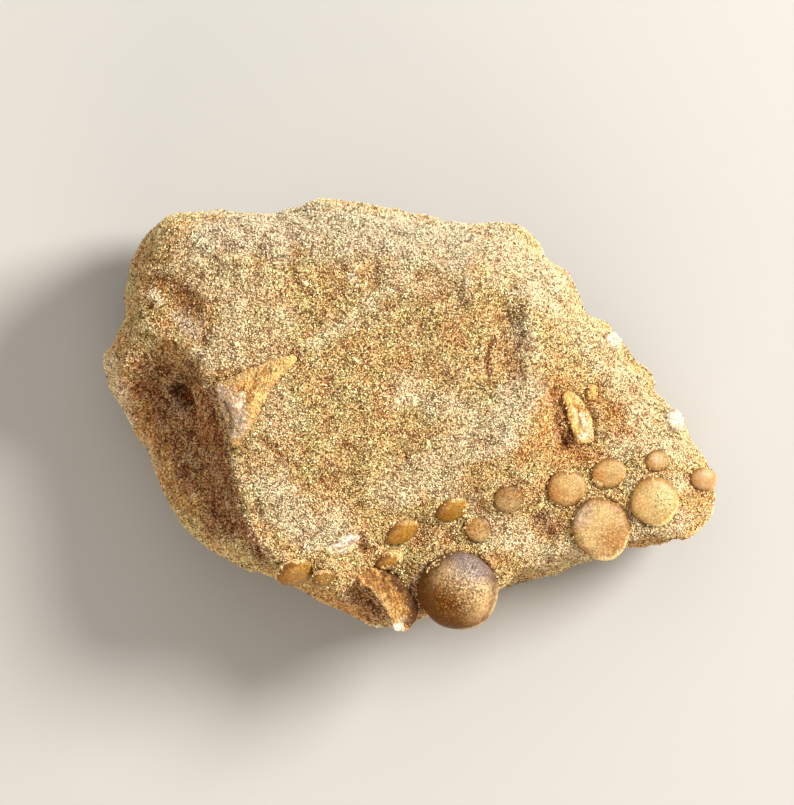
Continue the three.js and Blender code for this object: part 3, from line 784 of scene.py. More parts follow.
# middle and rim: the crown's own colours; shadedGlow: painted shade and painted glowing
# through the enamel on the side turned from the light, as far out as shadedGlowSize, with its
# core a share of that; sheen: a painted reflection, greyer than the rest; lipHighlight: a
# painted highlight along the rim on the lipHighlightWay side, from lipHighlightFrom outwards;
# litAt: where the cells and specks show most, the specks there partly painted glints, and how
# calm the rest is; lattice, grit: how strong the cells and the finest grain are; cell: their
# size in mm; grimeAndShade: brown dirt and painted shade in the seam with the rock; shine: how
# much the surface reflects. Places and distances are shares of the crown.
plainEnamel = {
    "shadedGlowSize": 0.8, "shadedGlowCore": 0.15, "sheenSize": 0.7, "lipHighlightFrom": 0.74, "litAt": (0.3, -0.05), "calm": 0.0,
    "pits": 0.0, "arcs": 0.0, "grimeAndShade": 0.75, "shine": 0.25, "rough": 0.46, "cell": 0.34,
    "pitColour": shade(96, 74, 40), "tickColour": shade(104, 74, 48), "grimeAndShadeColour": shade(112, 70, 34),
}
enamels = {
    "dark": {
        "middle": shade(186, 152, 106), "rim": shade(96, 60, 24),
        "shadedGlow": shade(98, 56, 2), "shadedGlowAt": (-0.66, -0.72), "shadedGlowSize": 1.55, "shadedGlowCore": 0.36,
        "sheen": shade(126, 110, 102), "sheenAt": (0.4, 0.86), "sheenSize": 1.05,
        "lipHighlight": shade(214, 184, 132), "lipHighlightWay": (0.75, -0.6), "lipHighlightFrom": 0.9,
        "speck": shade(232, 204, 146), "specks": 1.0, "lattice": 0.6, "streaks": 0.1, "grit": 1.4,
        "litAt": (0.1, 0.12), "calm": 0.65, "grimeAndShade": 0.3, "shine": 0.12, "rough": 0.52, "cell": 0.28,
    },
    "tan": {
        "middle": shade(184, 152, 100), "rim": shade(148, 104, 56),
        "shadedGlow": shade(162, 116, 64), "shadedGlowAt": (0.5, -0.4), "shadedGlowSize": 0.9,
        "sheen": shade(178, 148, 116), "sheenAt": (-0.75, 0.55), "sheenSize": 0.8,
        "lipHighlight": shade(220, 190, 134), "lipHighlightWay": (0.5, -0.86), "lipHighlightFrom": 0.83,
        "speck": shade(230, 208, 160), "specks": 0.4, "lattice": 0.5, "streaks": 1.0, "grit": 0.5,
    },
    "pitted": {
        "middle": shade(168, 138, 86), "rim": shade(158, 116, 58),
        "shadedGlow": shade(172, 134, 82), "shadedGlowAt": (-0.8, -0.1), "shadedGlowSize": 0.9,
        "sheen": shade(178, 162, 108), "sheenAt": (0.45, 0.1),
        "lipHighlight": shade(204, 186, 120), "lipHighlightWay": (0.75, -0.66), "lipHighlightFrom": 0.8,
        "speck": shade(222, 204, 150), "specks": 0.3, "lattice": 0.42, "streaks": 0.5, "grit": 0.32,
        "pits": 1.0, "rough": 0.42, "cell": 0.36,
    },
    "gold": {
        "middle": shade(172, 134, 80), "rim": shade(130, 88, 42),
        "shadedGlow": shade(162, 113, 58), "shadedGlowAt": (-0.7, -0.3),
        "sheen": shade(176, 144, 92), "sheenAt": (0.3, 0.2), "sheenSize": 0.6,
        "lipHighlight": shade(188, 153, 96), "lipHighlightWay": (0.8, 0.1),
        "speck": shade(216, 190, 138), "specks": 0.35, "lattice": 0.5, "streaks": 0.35, "grit": 0.42,
        "pits": 0.1, "arcs": 0.15,
    },
    "arced": {
        "middle": shade(165, 125, 72), "rim": shade(114, 77, 36),
        "shadedGlow": shade(150, 106, 54), "shadedGlowAt": (-0.6, 0.4),
        "sheen": shade(172, 137, 88), "sheenAt": (0.4, -0.5),
        "lipHighlight": shade(161, 137, 89), "lipHighlightWay": (0.6, -0.7),
        "speck": shade(204, 172, 116), "specks": 0.5, "lattice": 0.5, "streaks": 0.15, "grit": 0.9,
        "arcs": 0.95, "cell": 0.3,
    },
    "smooth": {
        "middle": shade(176, 138, 92), "rim": shade(150, 108, 60),
        "shadedGlow": shade(172, 127, 78), "shadedGlowAt": (-0.7, -0.3),
        "sheen": shade(188, 156, 104), "sheenAt": (0.4, 0.6),
        "lipHighlight": shade(200, 160, 96), "lipHighlightWay": (0.9, -0.3),
        "speck": shade(206, 184, 138), "specks": 0.08, "lattice": 0.16, "streaks": 0.05, "grit": 0.26,
        "rough": 0.38,
    },
    "amber": {
        "middle": shade(160, 114, 42), "rim": shade(120, 76, 20),
        "shadedGlow": shade(148, 98, 28), "shadedGlowAt": (-0.5, -0.6),
        "sheen": shade(184, 144, 80), "sheenAt": (0.3, 0.95), "sheenSize": 0.5,
        "lipHighlight": shade(176, 136, 74), "lipHighlightWay": (0.2, 0.95),
        "speck": shade(204, 166, 94), "specks": 0.5, "lattice": 0.5, "streaks": 0.3, "grit": 0.7,
        "arcs": 0.3, "rough": 0.4, "cell": 0.32,
    },
}


def spotMask(tree, vector, at, inner, outer):
    # 1 at a place on the crown, fading to 0 away from it
    return ranged(tree, vectorMaths(tree, "DISTANCE", vector, (*at, 0), "Value"), outer, inner)


def makeLatticeGroup():
    # enamel's fine cells: a tone, brighter specks, and a height
    tree, given, out = newGroup("enamelLattice", [
        ("Cell", floatSocket, 0.34 * mm), ("Depth", floatSocket, 0.2), ("Grit", floatSocket, 0.2),
    ], [("Tone", floatSocket, None), ("Speck", floatSocket, None), ("Height", floatSocket, None)])
    cells = cellsAt(tree, places(tree), maths(tree, "DIVIDE", 1.0, given.outputs["Cell"]))
    hill = ranged(tree, cells.outputs["Distance"], 0.12, 0.62, 1.0, 0.0)
    fleck = channel(tree, cells.outputs["Color"], "Red")
    lively = ranged(tree, noiseAt(tree, places(tree), 0.9 * mm, 2.0), 0.35, 0.65, 0.35, 1.0)
    low = minus(tree, 1.0, given.outputs["Depth"])
    high = maths(tree, "MULTIPLY_ADD", given.outputs["Depth"], 0.8, 1.0)
    rise = plus(tree, times(tree, hill, 0.7), times(tree, fleck, 0.3))
    rise = swung(tree, rise, lively)
    tone = maths(tree, "MULTIPLY_ADD", rise, minus(tree, high, low), 1.0)
    grit = channel(tree, cellsAt(tree, places(tree), 1 / (0.26 * mm)).outputs["Color"], "Green")
    grit = swung(tree, grit, given.outputs["Grit"])
    tree.links.new(times(tree, tone, plus(tree, grit, 1.0)), out.inputs["Tone"])
    bright = times(tree, ranged(tree, fleck, 0.62, 0.9), hill)
    tree.links.new(times(tree, bright, lively), out.inputs["Speck"])
    tree.links.new(hill, out.inputs["Height"])
    return tree


latticeGroup = makeLatticeGroup()


def crownColour(tree, look, flat, radius, loose):
    # the broad colours: middle to rim; painted shade and painted glowing on the side turned from the light;
    # a painted reflection, greyer than the rest; and a painted highlight along the rim on one side
    colour = mixed(tree, ranged(tree, loose, 0.62, 1.0), look["middle"], look["rim"])
    # painted shade and painted glowing through the enamel, on the side turned from the light
    size = look["shadedGlowSize"]
    shadedGlow = spotMask(tree, flat, look["shadedGlowAt"], look["shadedGlowCore"] * size, size)
    colour = mixed(tree, shadedGlow, colour, look["shadedGlow"])
    # a painted reflection, greyer than the rest of the crown
    size = look["sheenSize"]
    sheen = spotMask(tree, flat, look["sheenAt"], 0.2 * size, size)
    colour = mixed(tree, sheen, colour, look["sheen"])
    # a painted highlight along the rim, on the side that the light catches
    facing = vectorMaths(tree, "DOT_PRODUCT", flat, (*look["lipHighlightWay"], 0), "Value")
    band = ranged(tree, loose, look["lipHighlightFrom"] - 0.03, look["lipHighlightFrom"] + 0.1)
    band = times(tree, band, ranged(tree, radius, 1.12, 0.95))
    return mixed(tree, times(tree, band, ranged(tree, facing, 0.45, 0.85)), colour, look["lipHighlight"])


def crownLines(tree, look, colour, crown, flat, soft):
    # streaks that run out from the middle like spokes
    across, along, radius = crown
    angle = maths(tree, "ARCTAN2", along, across)
    spokes = addNode(tree, "ShaderNodeCombineXYZ",
                     {"X": times(tree, angle, 9.0), "Y": times(tree, radius, 2.2)})
    streak = noiseAt(tree, spokes.outputs["Vector"], 1.0, 3.0, 0.6)
    streakMask = times(tree, ranged(tree, radius, 0.35, 0.8), look["streaks"])
    colour = tinted(tree, colour, streakMask, ranged(tree, streak, 0.36, 0.64, 0.74, 1.2))
    # fine growth lines, curved round one side
    apart = vectorMaths(tree, "DISTANCE", flat, (-0.5, 0.6, 0), "Value")
    wave = maths(tree, "SINE", maths(tree, "MULTIPLY_ADD", soft, 4.0, times(tree, apart, 44.0)))
    arcMask = times(tree, ranged(tree, apart, 0.4, 0.9), look["arcs"])
    return tinted(tree, colour, arcMask, ranged(tree, wave, -1.0, 1.0, 0.84, 1.12))


def enamelMaterial(name, look):
    look = {**plainEnamel, **look}
    material, tree, shader = newMaterial(name + "_enamel", {
        "Coat Weight": 0.04, "Coat Roughness": 0.3, "Specular IOR Level": look["shine"],
    })
    parts = addNode(tree, "ShaderNodeSeparateXYZ", {"Vector": painted(tree, "crown", "Vector")})
    crown = [parts.outputs[axis] for axis in "XYZ"]
    across, along, radius = crown
    flat = addNode(tree, "ShaderNodeCombineXYZ", {"X": across, "Y": along}).outputs["Vector"]
    soft = noiseAt(tree, places(tree), 1.6 * mm, 3.0)
    loose = maths(tree, "MULTIPLY_ADD", minus(tree, soft, 0.5), 0.35, radius)
    colour = crownColour(tree, look, flat, radius, loose)
    colour = crownLines(tree, look, colour, crown, flat, soft)
    colour = toned(tree, colour, painted(tree, "tone"))
    lattice = useGroup(tree, latticeGroup, {
        "Cell": look["cell"] * mm, "Depth": look["lattice"], "Grit": look["grit"],
    })
    lit = maths(tree, "MULTIPLY_ADD", spotMask(tree, flat, look["litAt"], 0.3, 0.95), 0.88, 0.12)
    # the cells are faint away from the lit side of a calm crown
    lively = maths(tree, "MULTIPLY_ADD", lit, look["calm"], 1 - look["calm"])
    meanTone = 0.88
    tone = minus(tree, lattice.outputs["Tone"], meanTone)
    colour = toned(tree, colour, maths(tree, "MULTIPLY_ADD", tone, lively, meanTone))
    # the bright specks show on the lit side only: real specks and painted glints
    speckAndGlintMask = times(tree, times(tree, lattice.outputs["Speck"], lit), look["specks"])
    colour = mixed(tree, speckAndGlintMask, colour, look["speck"])
    pits = cellsAt(tree, places(tree), 1 / (0.46 * mm), randomness=0.8).outputs["Distance"]
    pitMask = times(tree, ranged(tree, pits, 0.34, 0.2), spotMask(tree, flat, (0.32, 0.0), 0.3, 0.55))
    pitMask = times(tree, pitMask, look["pits"])
    colour = mixed(tree, pitMask, colour, look["pitColour"])
    colour = mixed(tree, painted(tree, "tick"), colour, look["tickColour"])
    # brown dirt and a painted shade in the seam with the rock
    grimeAndShade = times(tree, ranged(tree, loose, 0.93, 1.04), look["grimeAndShade"])
    colour = mixed(tree, grimeAndShade, colour, look["grimeAndShadeColour"])
    dusty = useGroup(tree, dustGroup, {"Colour": colour, "Nearness": painted(tree, "buried")})
    roughness = ranged(tree, soft, 0.3, 0.7, look["rough"] - 0.06, look["rough"] + 0.1)
    roughness = plus(tree, roughness, times(tree, dusty.outputs["Amount"], 0.4))
    height = minus(tree, times(tree, lattice.outputs["Height"], 0.35), pitMask)
    connect(tree, shader, dusty.outputs["Colour"], roughness, height, 0.06 * mm)
    return material


def roundedCrown(name, look):
    # the solid's corners joined up and rounded off
    piece = mergedCopy(name, name + "_crown")
    work = bmesh.new()
    work.from_mesh(piece.data)
    bmesh.ops.join_triangles(work, faces=work.faces, angle_face_threshold=0.7,
                             angle_shape_threshold=0.7)
    work.to_mesh(piece.data)
    work.free()
    rounding = piece.modifiers.new("rounding", "SUBSURF")
    rounding.levels = rounding.render_levels = look["levels"]
    return settled(piece)


def makeTooth(name, look, material):
    look = {**plainTooth, **look}
    piece = roundedCrown(name, look)
    mesh = piece.data
    seat = crownFrames[name]
    centre, axes, half, dome = (seat[key] for key in ("centre", "axes", "half", "dome"))
    local = (pointsOf(mesh) - centre) @ axes.T
    # back out to the full size that the rounding took off
    local[:, :2] *= half / np.abs(local[:, :2]).max(0)
    local[:, 2] *= np.where(local[:, 2] > 0, dome / local[:, 2].max(), 1)
    # a flatter top with a tighter rim
    share = np.linalg.norm(local[:, :2] / half, axis=1)
    power = 2 / look["squareness"]
    over = local[:, 2] > 0
    wider = np.where(over, np.maximum(share, 1e-6) ** (power - 1), 1)
    local[:, :2] *= wider[:, None]
    rise = np.clip(local[:, 2] / dome, 0, 1)
    local[:, 2] = np.where(over, dome * rise ** power, local[:, 2])
    # never quite even
    points = local @ axes + centre
    share = np.linalg.norm(local[:, :2] / half, axis=1)
    broad = noiseOver(points, 3.4 * mm, 14)
    local[:, :2] *= (1 + look["wander"] * broad * smoothStep(share, 0.3, 1))[:, None]
    around = np.degrees(np.arctan2(*(points - centre)[:, 1::-1].T))
    for way, spread, amount in look["bulges"]:
        swell = amount * towards(around, way, spread) * smoothStep(share, 0.3, 1)
        local[:, :2] *= (1 + swell)[:, None]
    fine = noiseOver(points, 1.7 * mm, 3)
    local[:, 2] += fine * look["fine"] * mm + broad * look["broad"] * mm
    points = local @ axes + centre
    setPoints(mesh, points)
    plan = half.mean() * np.array([1, max(axes[2][2], 0.5)])
    flat = (points - centre)[:, :2] / plan
    reach = np.where(over, share, 1 + 0.2 * np.abs(local[:, 2]) / seat["depth"])
    paint(mesh, "crown", np.stack([flat[:, 0], flat[:, 1], reach], 1))
    paint(mesh, "tone", np.full(len(points), look["tone"]))
    paint(mesh, "tick", strokes(points, centre, look["tick"], 0.15))
    sand = strokes(points, centre, look["sand"], 0.5) * over
    dust = look["dust"] * smoothStep(reach, 0.97, 1.03)
    paint(mesh, "buried", np.maximum(dust, 0.9 * sand))
    smoothShaded(mesh)
    finished(piece, material, [name])
    cling = smoothStep(share + 0.1 * noiseOver(points, 1.1 * mm, 8), 0.93, 0.99) * look["cling"]
    return piece, np.maximum(cling, sand) * (local[:, 2] > -0.6 * mm)


enamelMaterials = {name: enamelMaterial(name, look) for name, look in enamels.items()}
# each finished tooth, with how readily grains lie on each of its points
teeth = [makeTooth(name, look, enamelMaterials[look["finish"]]) for name, look in toothLooks.items()]
print("teeth made:", len(teeth))


# Bone and shell. plainScrap holds what a piece's own row leaves out.
# voxel: mm between its points; ridge: height of the ridges, mm; grain: the way they and
# the fibres run; soft: how lumpy beside the others; grow: how much wider than its solid in
# plan; steps: strokes that stand up or sink, in mm; sunk: strokes where the whole piece
# goes down into the sand; slender: strokes where it is thinner from below, by that share;
# skin: added all round, mm; lumps: size and height, mm, and where the noise is taken from;
# pepper: how readily grains lie all over it; rusty: how rusty those are; the other strokes
# are where each colour shows. Places are in mm from the piece's middle.
plainScrap = {
    "tone": 1.0, "soft": 1.0, "grow": (1, 1), "rusty": 0, "skin": 0.08, "ridgeWidth": 0.9,
    "lumps": [(2.5, 0.14, 6), (0.55, 0.14, 4)], "steps": [], "sunk": [], "slender": [],
    "gold": [], "lilac": [], "pale": [], "dark": [], "sand": [],
}
scrapLooks = {
    "jaw_bone_wedge": {
        "slot": "bone", "voxel": 0.2, "ridge": 0.14, "grain": (0.45, 0.89), "pepper": 0.4, "rusty": 0.1,
        "steps": [([(6.6, 7), (3.4, 4.6), (1.2, 2.4), (-0.6, -1.2), (-2.4, -5), (-3.2, -7)], 1.5, 0.55)],
        "gold": [([(6.6, 7), (3.6, 4.8), (1.4, 2.6), (-0.2, -0.8), (-2.0, -4.4), (-3.2, -7)], 2.0, 1.0)],
        "lilac": [([(-6.2, 3), (-4.6, -0.6), (-3.8, -5.4)], 2.3, 1.0)],
        # pale: pale bone and a painted glint
        "pale": [([(-2.3, 1.4), (-2, 0)], 0.5, 0.8), ([(-2.2, 0.6), (-2.9, -2.6), (-3.8, -6)], 0.4, 0.35),
                 ([(-6.4, 3.2), (-5.4, 0.4)], 0.4, 0.4)],
        "dark": [([(-5.6, 0.6), (-4.4, -2.2), (-4.2, -4.6)], 0.4, 0.7), ([(-4.6, 3), (-3.6, 1.2)], 0.4, 0.4),
                 ([(1.6, 0.4), (-0.2, -3), (-2.2, -6.4)], 0.35, 0.5)],
        "sand": [([(-6.6, 3.2), (-3.4, 3.6), (0, 5.2), (4, 7.2)], 1.1, 0.95),
                 ([(0.8, 3.6), (1.4, 4.4)], 0.5, 0.5), ([(2.4, 2.2), (0.6, -1.6), (-1.6, -5.6)], 0.4, 0.7)],
    },
    "bone_blade": {
        "slot": "bone", "voxel": 0.18, "ridge": 0.16, "grain": (0.35, -0.94), "pepper": 0.25, "rusty": 0.3,
        "steps": [([(-2.2, 3.8), (-1, 0.4), (0.2, -3.6)], 0.7, 0.25)], "soft": 0.4,
        "sunk": [([(0.2, 5), (1.8, 2.6), (2.8, -0.4), (3, -3.4)], 1.7, 0.8)],
        "gold": [([(-2, 4), (-1, 0), (0.4, -3.6)], 1.1, 0.9)],
        "lilac": [([(1.2, 1), (1.8, -2.6)], 0.8, 0.5)],
        # pale: pale bone and painted glints
        "pale": [([(0.5, 0.5), (0.9, -1.2)], 0.35, 0.7), ([(0.2, -3.2), (1.3, -3.3)], 0.5, 0.7),
                 ([(-0.7, 1.4), (-0.3, -0.8)], 0.35, 0.3)],
        "dark": [([(-2.6, 3), (-1.9, 0), (-0.9, -3.4)], 0.4, 1.0), ([(0.1, 1.6), (0.5, -1.2)], 0.22, 0.7)],
        "sand": [([(0.4, -4.2), (2.2, -4)], 0.5, 0.8),
                 ([(-0.8, 5.2), (0.2, 3.6), (1.4, 1.8), (2.2, 0), (2.6, -3.4)], 1.15, 1.0)],
    },
    "bone_rib": {
        "slot": "bone", "voxel": 0.22, "tone": 0.78, "ridge": 0.1, "grain": (0.3, -0.95),
        "pepper": 0.07, "rusty": 0.5,
        "steps": [([(-4.4, 3.2), (-2, 2), (-0.4, -0.2), (1, -3), (1.6, -5)], 0.6, 0.3),
                  ([(1, -1.4), (2, -1.2)], 0.4, -0.2), ([(1.6, -3), (2.8, -2.8)], 0.4, -0.2)],
        "slender": [([(1.4, -2), (2.2, -6)], 3.4, 0.55)],
        "gold": [([(0.6, -1), (1.6, -2.8), (2, -4)], 1.0, 0.7)],
        "lilac": [([(3, -3.6), (2.8, -5.2)], 0.9, 0.6)],
        "pale": [([(-5.2, 4.2), (-4.4, 3.2)], 0.2, 0.5), ([(-1.2, 0.4), (-0.4, -1.4), (0.4, -3)], 0.4, 0.4),
                 ([(1.2, -5.0), (2.4, -5.4)], 0.9, 0.9)],
        # along the rib's right side: brown bone and a painted shadow of the big tooth
        "dark": [([(-0.4, 5), (1.8, 3.4), (3.8, 1), (5, -1.6), (4.6, -4)], 1.5, 0.95),
                 ([(-3.4, 4.2), (-0.6, 2.4), (1.6, 0)], 1.2, 0.25)],
        "sand": [([(-6.2, 4.8), (-5, 3.6)], 0.6, 0.9), ([(-3.6, 5.2), (-0.4, 4.6)], 0.5, 0.7),
                 ([(-4.6, 3), (-1.6, 0.6), (0.1, -1.9), (0.6, -4.2)], 0.5, 0.9)],
    },
    "bone_lump": {
        "slot": "bone", "voxel": 0.18, "ridge": 0.16, "grain": (1, 0), "pepper": 0.5, "rusty": 0.4,
        "steps": [([(0, 0)], 1.3, -0.3)], "gold": [([(0, 0)], 1.4, 0.9)],
        "dark": [([(-0.9, -0.6)], 0.5, 0.6)], "sand": [([(-0.8, -1.2), (0.6, -1.4)], 0.5, 0.8)],
    },
    "shell_fragment": {
        "slot": "shell", "voxel": 0.16, "ridge": 0.16, "grain": (0.88, 0.47), "pepper": 0.2,
        "grow": (1.12, 1.26), "gold": [([(-2.4, -1.4), (-0.6, -0.8)], 0.5, 0.4)],
        "lilac": [([(-1, 0), (1.6, 0.8)], 0.6, 0.7)],
        "pale": [([(-1.6, -0.4), (1.8, 1.2)], 0.3, 0.5)], "dark": [([(-1.4, -0.9), (1.6, 0.1)], 0.22, 0.6)],
        "sand": [([(-3, -0.8), (-2.4, -1.9), (-1, -2)], 0.6, 0.9), ([(2.6, 0), (1.2, -1)], 0.5, 0.8),
                 ([(-1.4, 1.2), (-0.4, 1.7)], 0.3, 0.7)],
    },
    "shell_chip_upper": {
        "slot": "shell", "voxel": 0.2, "ridge": 0.2, "grain": (0.6, 0.8), "pepper": 0.25,
        "lilac": [([(-0.6, -0.8)], 1, 0.5)], "pale": [([(0.4, 0.4)], 1.6, 0.8)],
        "dark": [([(-1, -1.2)], 0.4, 0.5)], "sand": [([(-1.2, 0.8), (-1.2, -1)], 0.5, 0.8)],
    },
    "shell_chip_lower": {
        "slot": "shell", "voxel": 0.22, "ridge": 0.2, "grain": (0.6, 0.8), "pepper": 0.25,
        "lilac": [([(-0.8, -1)], 1.2, 0.6)], "pale": [([(0.4, 0.6)], 2, 0.8)],
        "dark": [([(-1.4, -1.4)], 0.5, 0.5)], "sand": [([(-1.6, 1), (-1.6, -1.4)], 0.6, 0.8)],
    },
}
scrapColours = {
    "bone": {"deep": shade(136, 82, 32), "body": shade(186, 130, 64), "light": shade(216, 174, 108),
             "gold": shade(208, 166, 100), "lilac": shade(214, 186, 164), "dark": shade(88, 52, 24),
             "pale": shade(240, 228, 202)},
    "shell": {"deep": shade(172, 144, 114), "body": shade(202, 180, 152), "light": shade(230, 216, 192),
              "gold": shade(222, 188, 132), "lilac": shade(206, 176, 160), "dark": shade(128, 96, 68),
              "pale": shade(240, 228, 202)},
}


def scrapMaterial(name, colours):
    material, tree, shader = newMaterial(name, {"Specular IOR Level": 0.2})
    fibres = noiseAt(tree, painted(tree, "along", "Vector"), 0.42 * mm, 3.0, 0.62)
    tangle = noiseAt(tree, places(tree), 0.5 * mm, 2.0)
    broad = noiseAt(tree, places(tree), 2.4 * mm, 3.0)
    strand = maths(tree, "MULTIPLY_ADD", minus(tree, tangle, 0.5), 0.5, fibres)
    colour = ramp(tree, strand, [(0.28, colours["deep"]), (0.5, colours["body"]), (0.7, colours["light"])])
    tone = ranged(tree, strand, 0.3, 0.68, 0.62, 1.22)
    for patch in ("gold", "lilac"):
        amount = times(tree, painted(tree, patch), 0.9)
        colour = mixed(tree, amount, colour, toned(tree, colours[patch], tone))
    colour = tinted(tree, colour, 0.6, ranged(tree, broad, 0.35, 0.65, 0.8, 1.15))
    colour = toned(tree, colour, painted(tree, "tone"))
    # dark strokes: dark marks, and on the rib a painted shadow; pale strokes: pale patches, and on the wedge
    # and the blade painted glints
    for patch in ("dark", "pale"):
        colour = mixed(tree, painted(tree, patch), colour, colours[patch])
    # worn, crumbly surface: fine pits with paler crumbs between
    crumbs = cellsAt(tree, places(tree), 1 / (0.32 * mm))
    colour = tinted(tree, colour, 1.0, ranged(tree, crumbs.outputs["Distance"], 0.2, 0.75, 1.15, 0.66))
    grit = channel(tree, crumbs.outputs["Color"], "Green")
    colour = tinted(tree, colour, 1.0, maths(tree, "MULTIPLY_ADD", grit, 0.8, 0.6))
    dusty = useGroup(tree, dustGroup, {"Colour": colour, "Nearness": painted(tree, "buried")})
    roughness = ranged(tree, fibres, 0.3, 0.7, 0.7, 0.88)
    height = minus(tree, strand, times(tree, crumbs.outputs["Distance"], 0.8))
    connect(tree, shader, dusty.outputs["Colour"], roughness, height, 0.12 * mm)
    return material


def makeScrap(name, look, material, rockSurface):
    look = {**plainScrap, **look}
    piece = remeshed(mergedCopy(name, name + "_piece"), look["voxel"] * mm)
    mesh = piece.data
    points, edges = pointsOf(mesh), edgesOf(mesh)
    points = evened(points, edges, np.ones(len(points)), 2)
    home = middleOf(name)
    points[:, :2] = home[:2] + (points[:, :2] - home[:2]) * look["grow"]
    setPoints(mesh, points)
    normals = normalsOf(mesh)
    x, y = look["grain"]
    turned = np.stack([points[:, 0] * x + points[:, 1] * y, points[:, 1] * x - points[:, 0] * y,
                       points[:, 2]], 1)
    along = turned * (0.22, 1, 1)
    upward = smoothStep(normals[:, 2], 0.0, 0.5)
    # ridges along the grain, broad and crumbly lumps, then the steps
    out = noiseOver(along, look["ridgeWidth"] * mm, 2) * look["ridge"] * mm
    for size, height, shift in look["lumps"]:
        out += noiseOver(points, size * mm, shift) * height * mm
    out = out * look["soft"] + strokes(points, home, look["steps"], 0.25) * mm * upward
    points += normals * (out + look["skin"] * mm)[:, None]
    points[:, 2] -= strokes(points, home, look["sunk"], 0.2) * mm
    slender = strokes(points, home, look["slender"], 0.2)
    points[:, 2] += slender * (points[:, 2].max() - points[:, 2])
    setPoints(mesh, points)
    paint(mesh, "along", along)
    for colour in ("gold", "lilac", "pale", "dark"):
        paint(mesh, colour, strokes(points, home, look[colour], 0.45))
    depth = nearestOn(rockSurface, points)[1]
    sand = strokes(points, home, look["sand"], 0.6) * smoothStep(normals[:, 2], -0.3, 0.1)
    low = np.maximum(0.75 * smoothStep(-depth / mm, -0.5, -0.1), 0.9 * smoothStep(-normals[:, 2], 0.3, 0.8))
    paint(mesh, "buried", np.maximum(low, 0.9 * sand))
    paint(mesh, "tone", np.full(len(points), look["tone"]))
    # the stains of the grains that lie on it
    paint(mesh, "rust", np.full(len(points), look["rusty"]))
    paint(mesh, "umberAndShade", np.full(len(points), 0.45 * look["rusty"]))
    smoothShaded(mesh)
    finished(piece, material, [name])
    ground = np.maximum(look["pepper"], 0.35 * smoothStep(-depth / mm, -0.35, -0.1))
    return piece, np.maximum(sand, ground * upward)


rockSkin = BVHTree.FromPolygons([v.co for v in rock.data.vertices],
                                [p.vertices[:] for p in rock.data.polygons])
scrapMaterials = {
    "bone": scrapMaterial("orange_bone", scrapColours["bone"]),
    "shell": scrapMaterial("chalky_shell", scrapColours["shell"]),
}
scraps = [makeScrap(name, look, scrapMaterials[look["slot"]], rockSkin)
          for name, look in scrapLooks.items()]
print("bone and shell made:", len(scraps))


# The loose grains, in mm. spacing: the least between two; size: across a large one; lift:
# how far out of the bed, in sizes; wobble and bend: size and strength of the lumps that
# each is bent by; segments and rings: how many sides it has; larger: beside the rest;
# tones: from dark to light.
grainLook = {
    "spacing": 0.275, "size": 0.42, "seed": 11, "lift": 0.06,
    "wobble": 0.26, "bend": 0.22, "segments": 3, "rings": 2,
}
grainKinds = {
    "cream_grains": {"share": 0.27, "tones": [(218, 198, 146), (230, 212, 162), (240, 228, 186)]},
    "straw_grains": {"share": 0.29, "tones": [(206, 182, 128), (216, 194, 140), (228, 208, 156)]},
    "gold_grains": {"share": 0.22, "tones": [(184, 150, 98), (198, 166, 112), (212, 184, 128)]},
    "amber_grains": {"share": 0.12, "tones": [(144, 104, 58), (166, 126, 74), (184, 144, 92)]},
    "brown_grains": {"share": 0.08, "tones": [(88, 60, 26), (108, 78, 36), (132, 98, 50)]},
    "shell_grains": {"share": 0.02, "tones": [(222, 210, 176), (234, 224, 196), (244, 238, 218)],
                     "larger": 1.1},
}
# larger worn flecks of shell, far apart
fleckLook = {
    "spacing": 3.0, "size": 0.95, "seed": 12, "lift": -0.32,
    "wobble": 0.7, "bend": 0.7, "segments": 6, "rings": 4,
    "share": 0.24, "tones": [(198, 178, 130), (214, 196, 150), (232, 220, 186)],
}


def sandBed(pieces):
    # one plain mesh of all that grains lie on, with how readily they lie there
    points, faces, layers = [], [], {name: [] for name in ("sandy", *stainsAndShade)}
    start = 0
    for piece, sandy in pieces:
        mesh = piece.data
        here = pointsOf(mesh)
        points.append(here)
        faces += [[start + i for i in face.vertices] for face in mesh.polygons]
        layers["sandy"].append(sandy)
        for name in stainsAndShade:
            layers[name].append(paintedOn(mesh, name))
        start += len(here)
    bed = bpy.data.meshes.new("sand_bed")
    bed.from_pydata(np.concatenate(points).tolist(), [], faces)
    for name, found in layers.items():
        paint(bed, name, np.concatenate(found))
    return bed


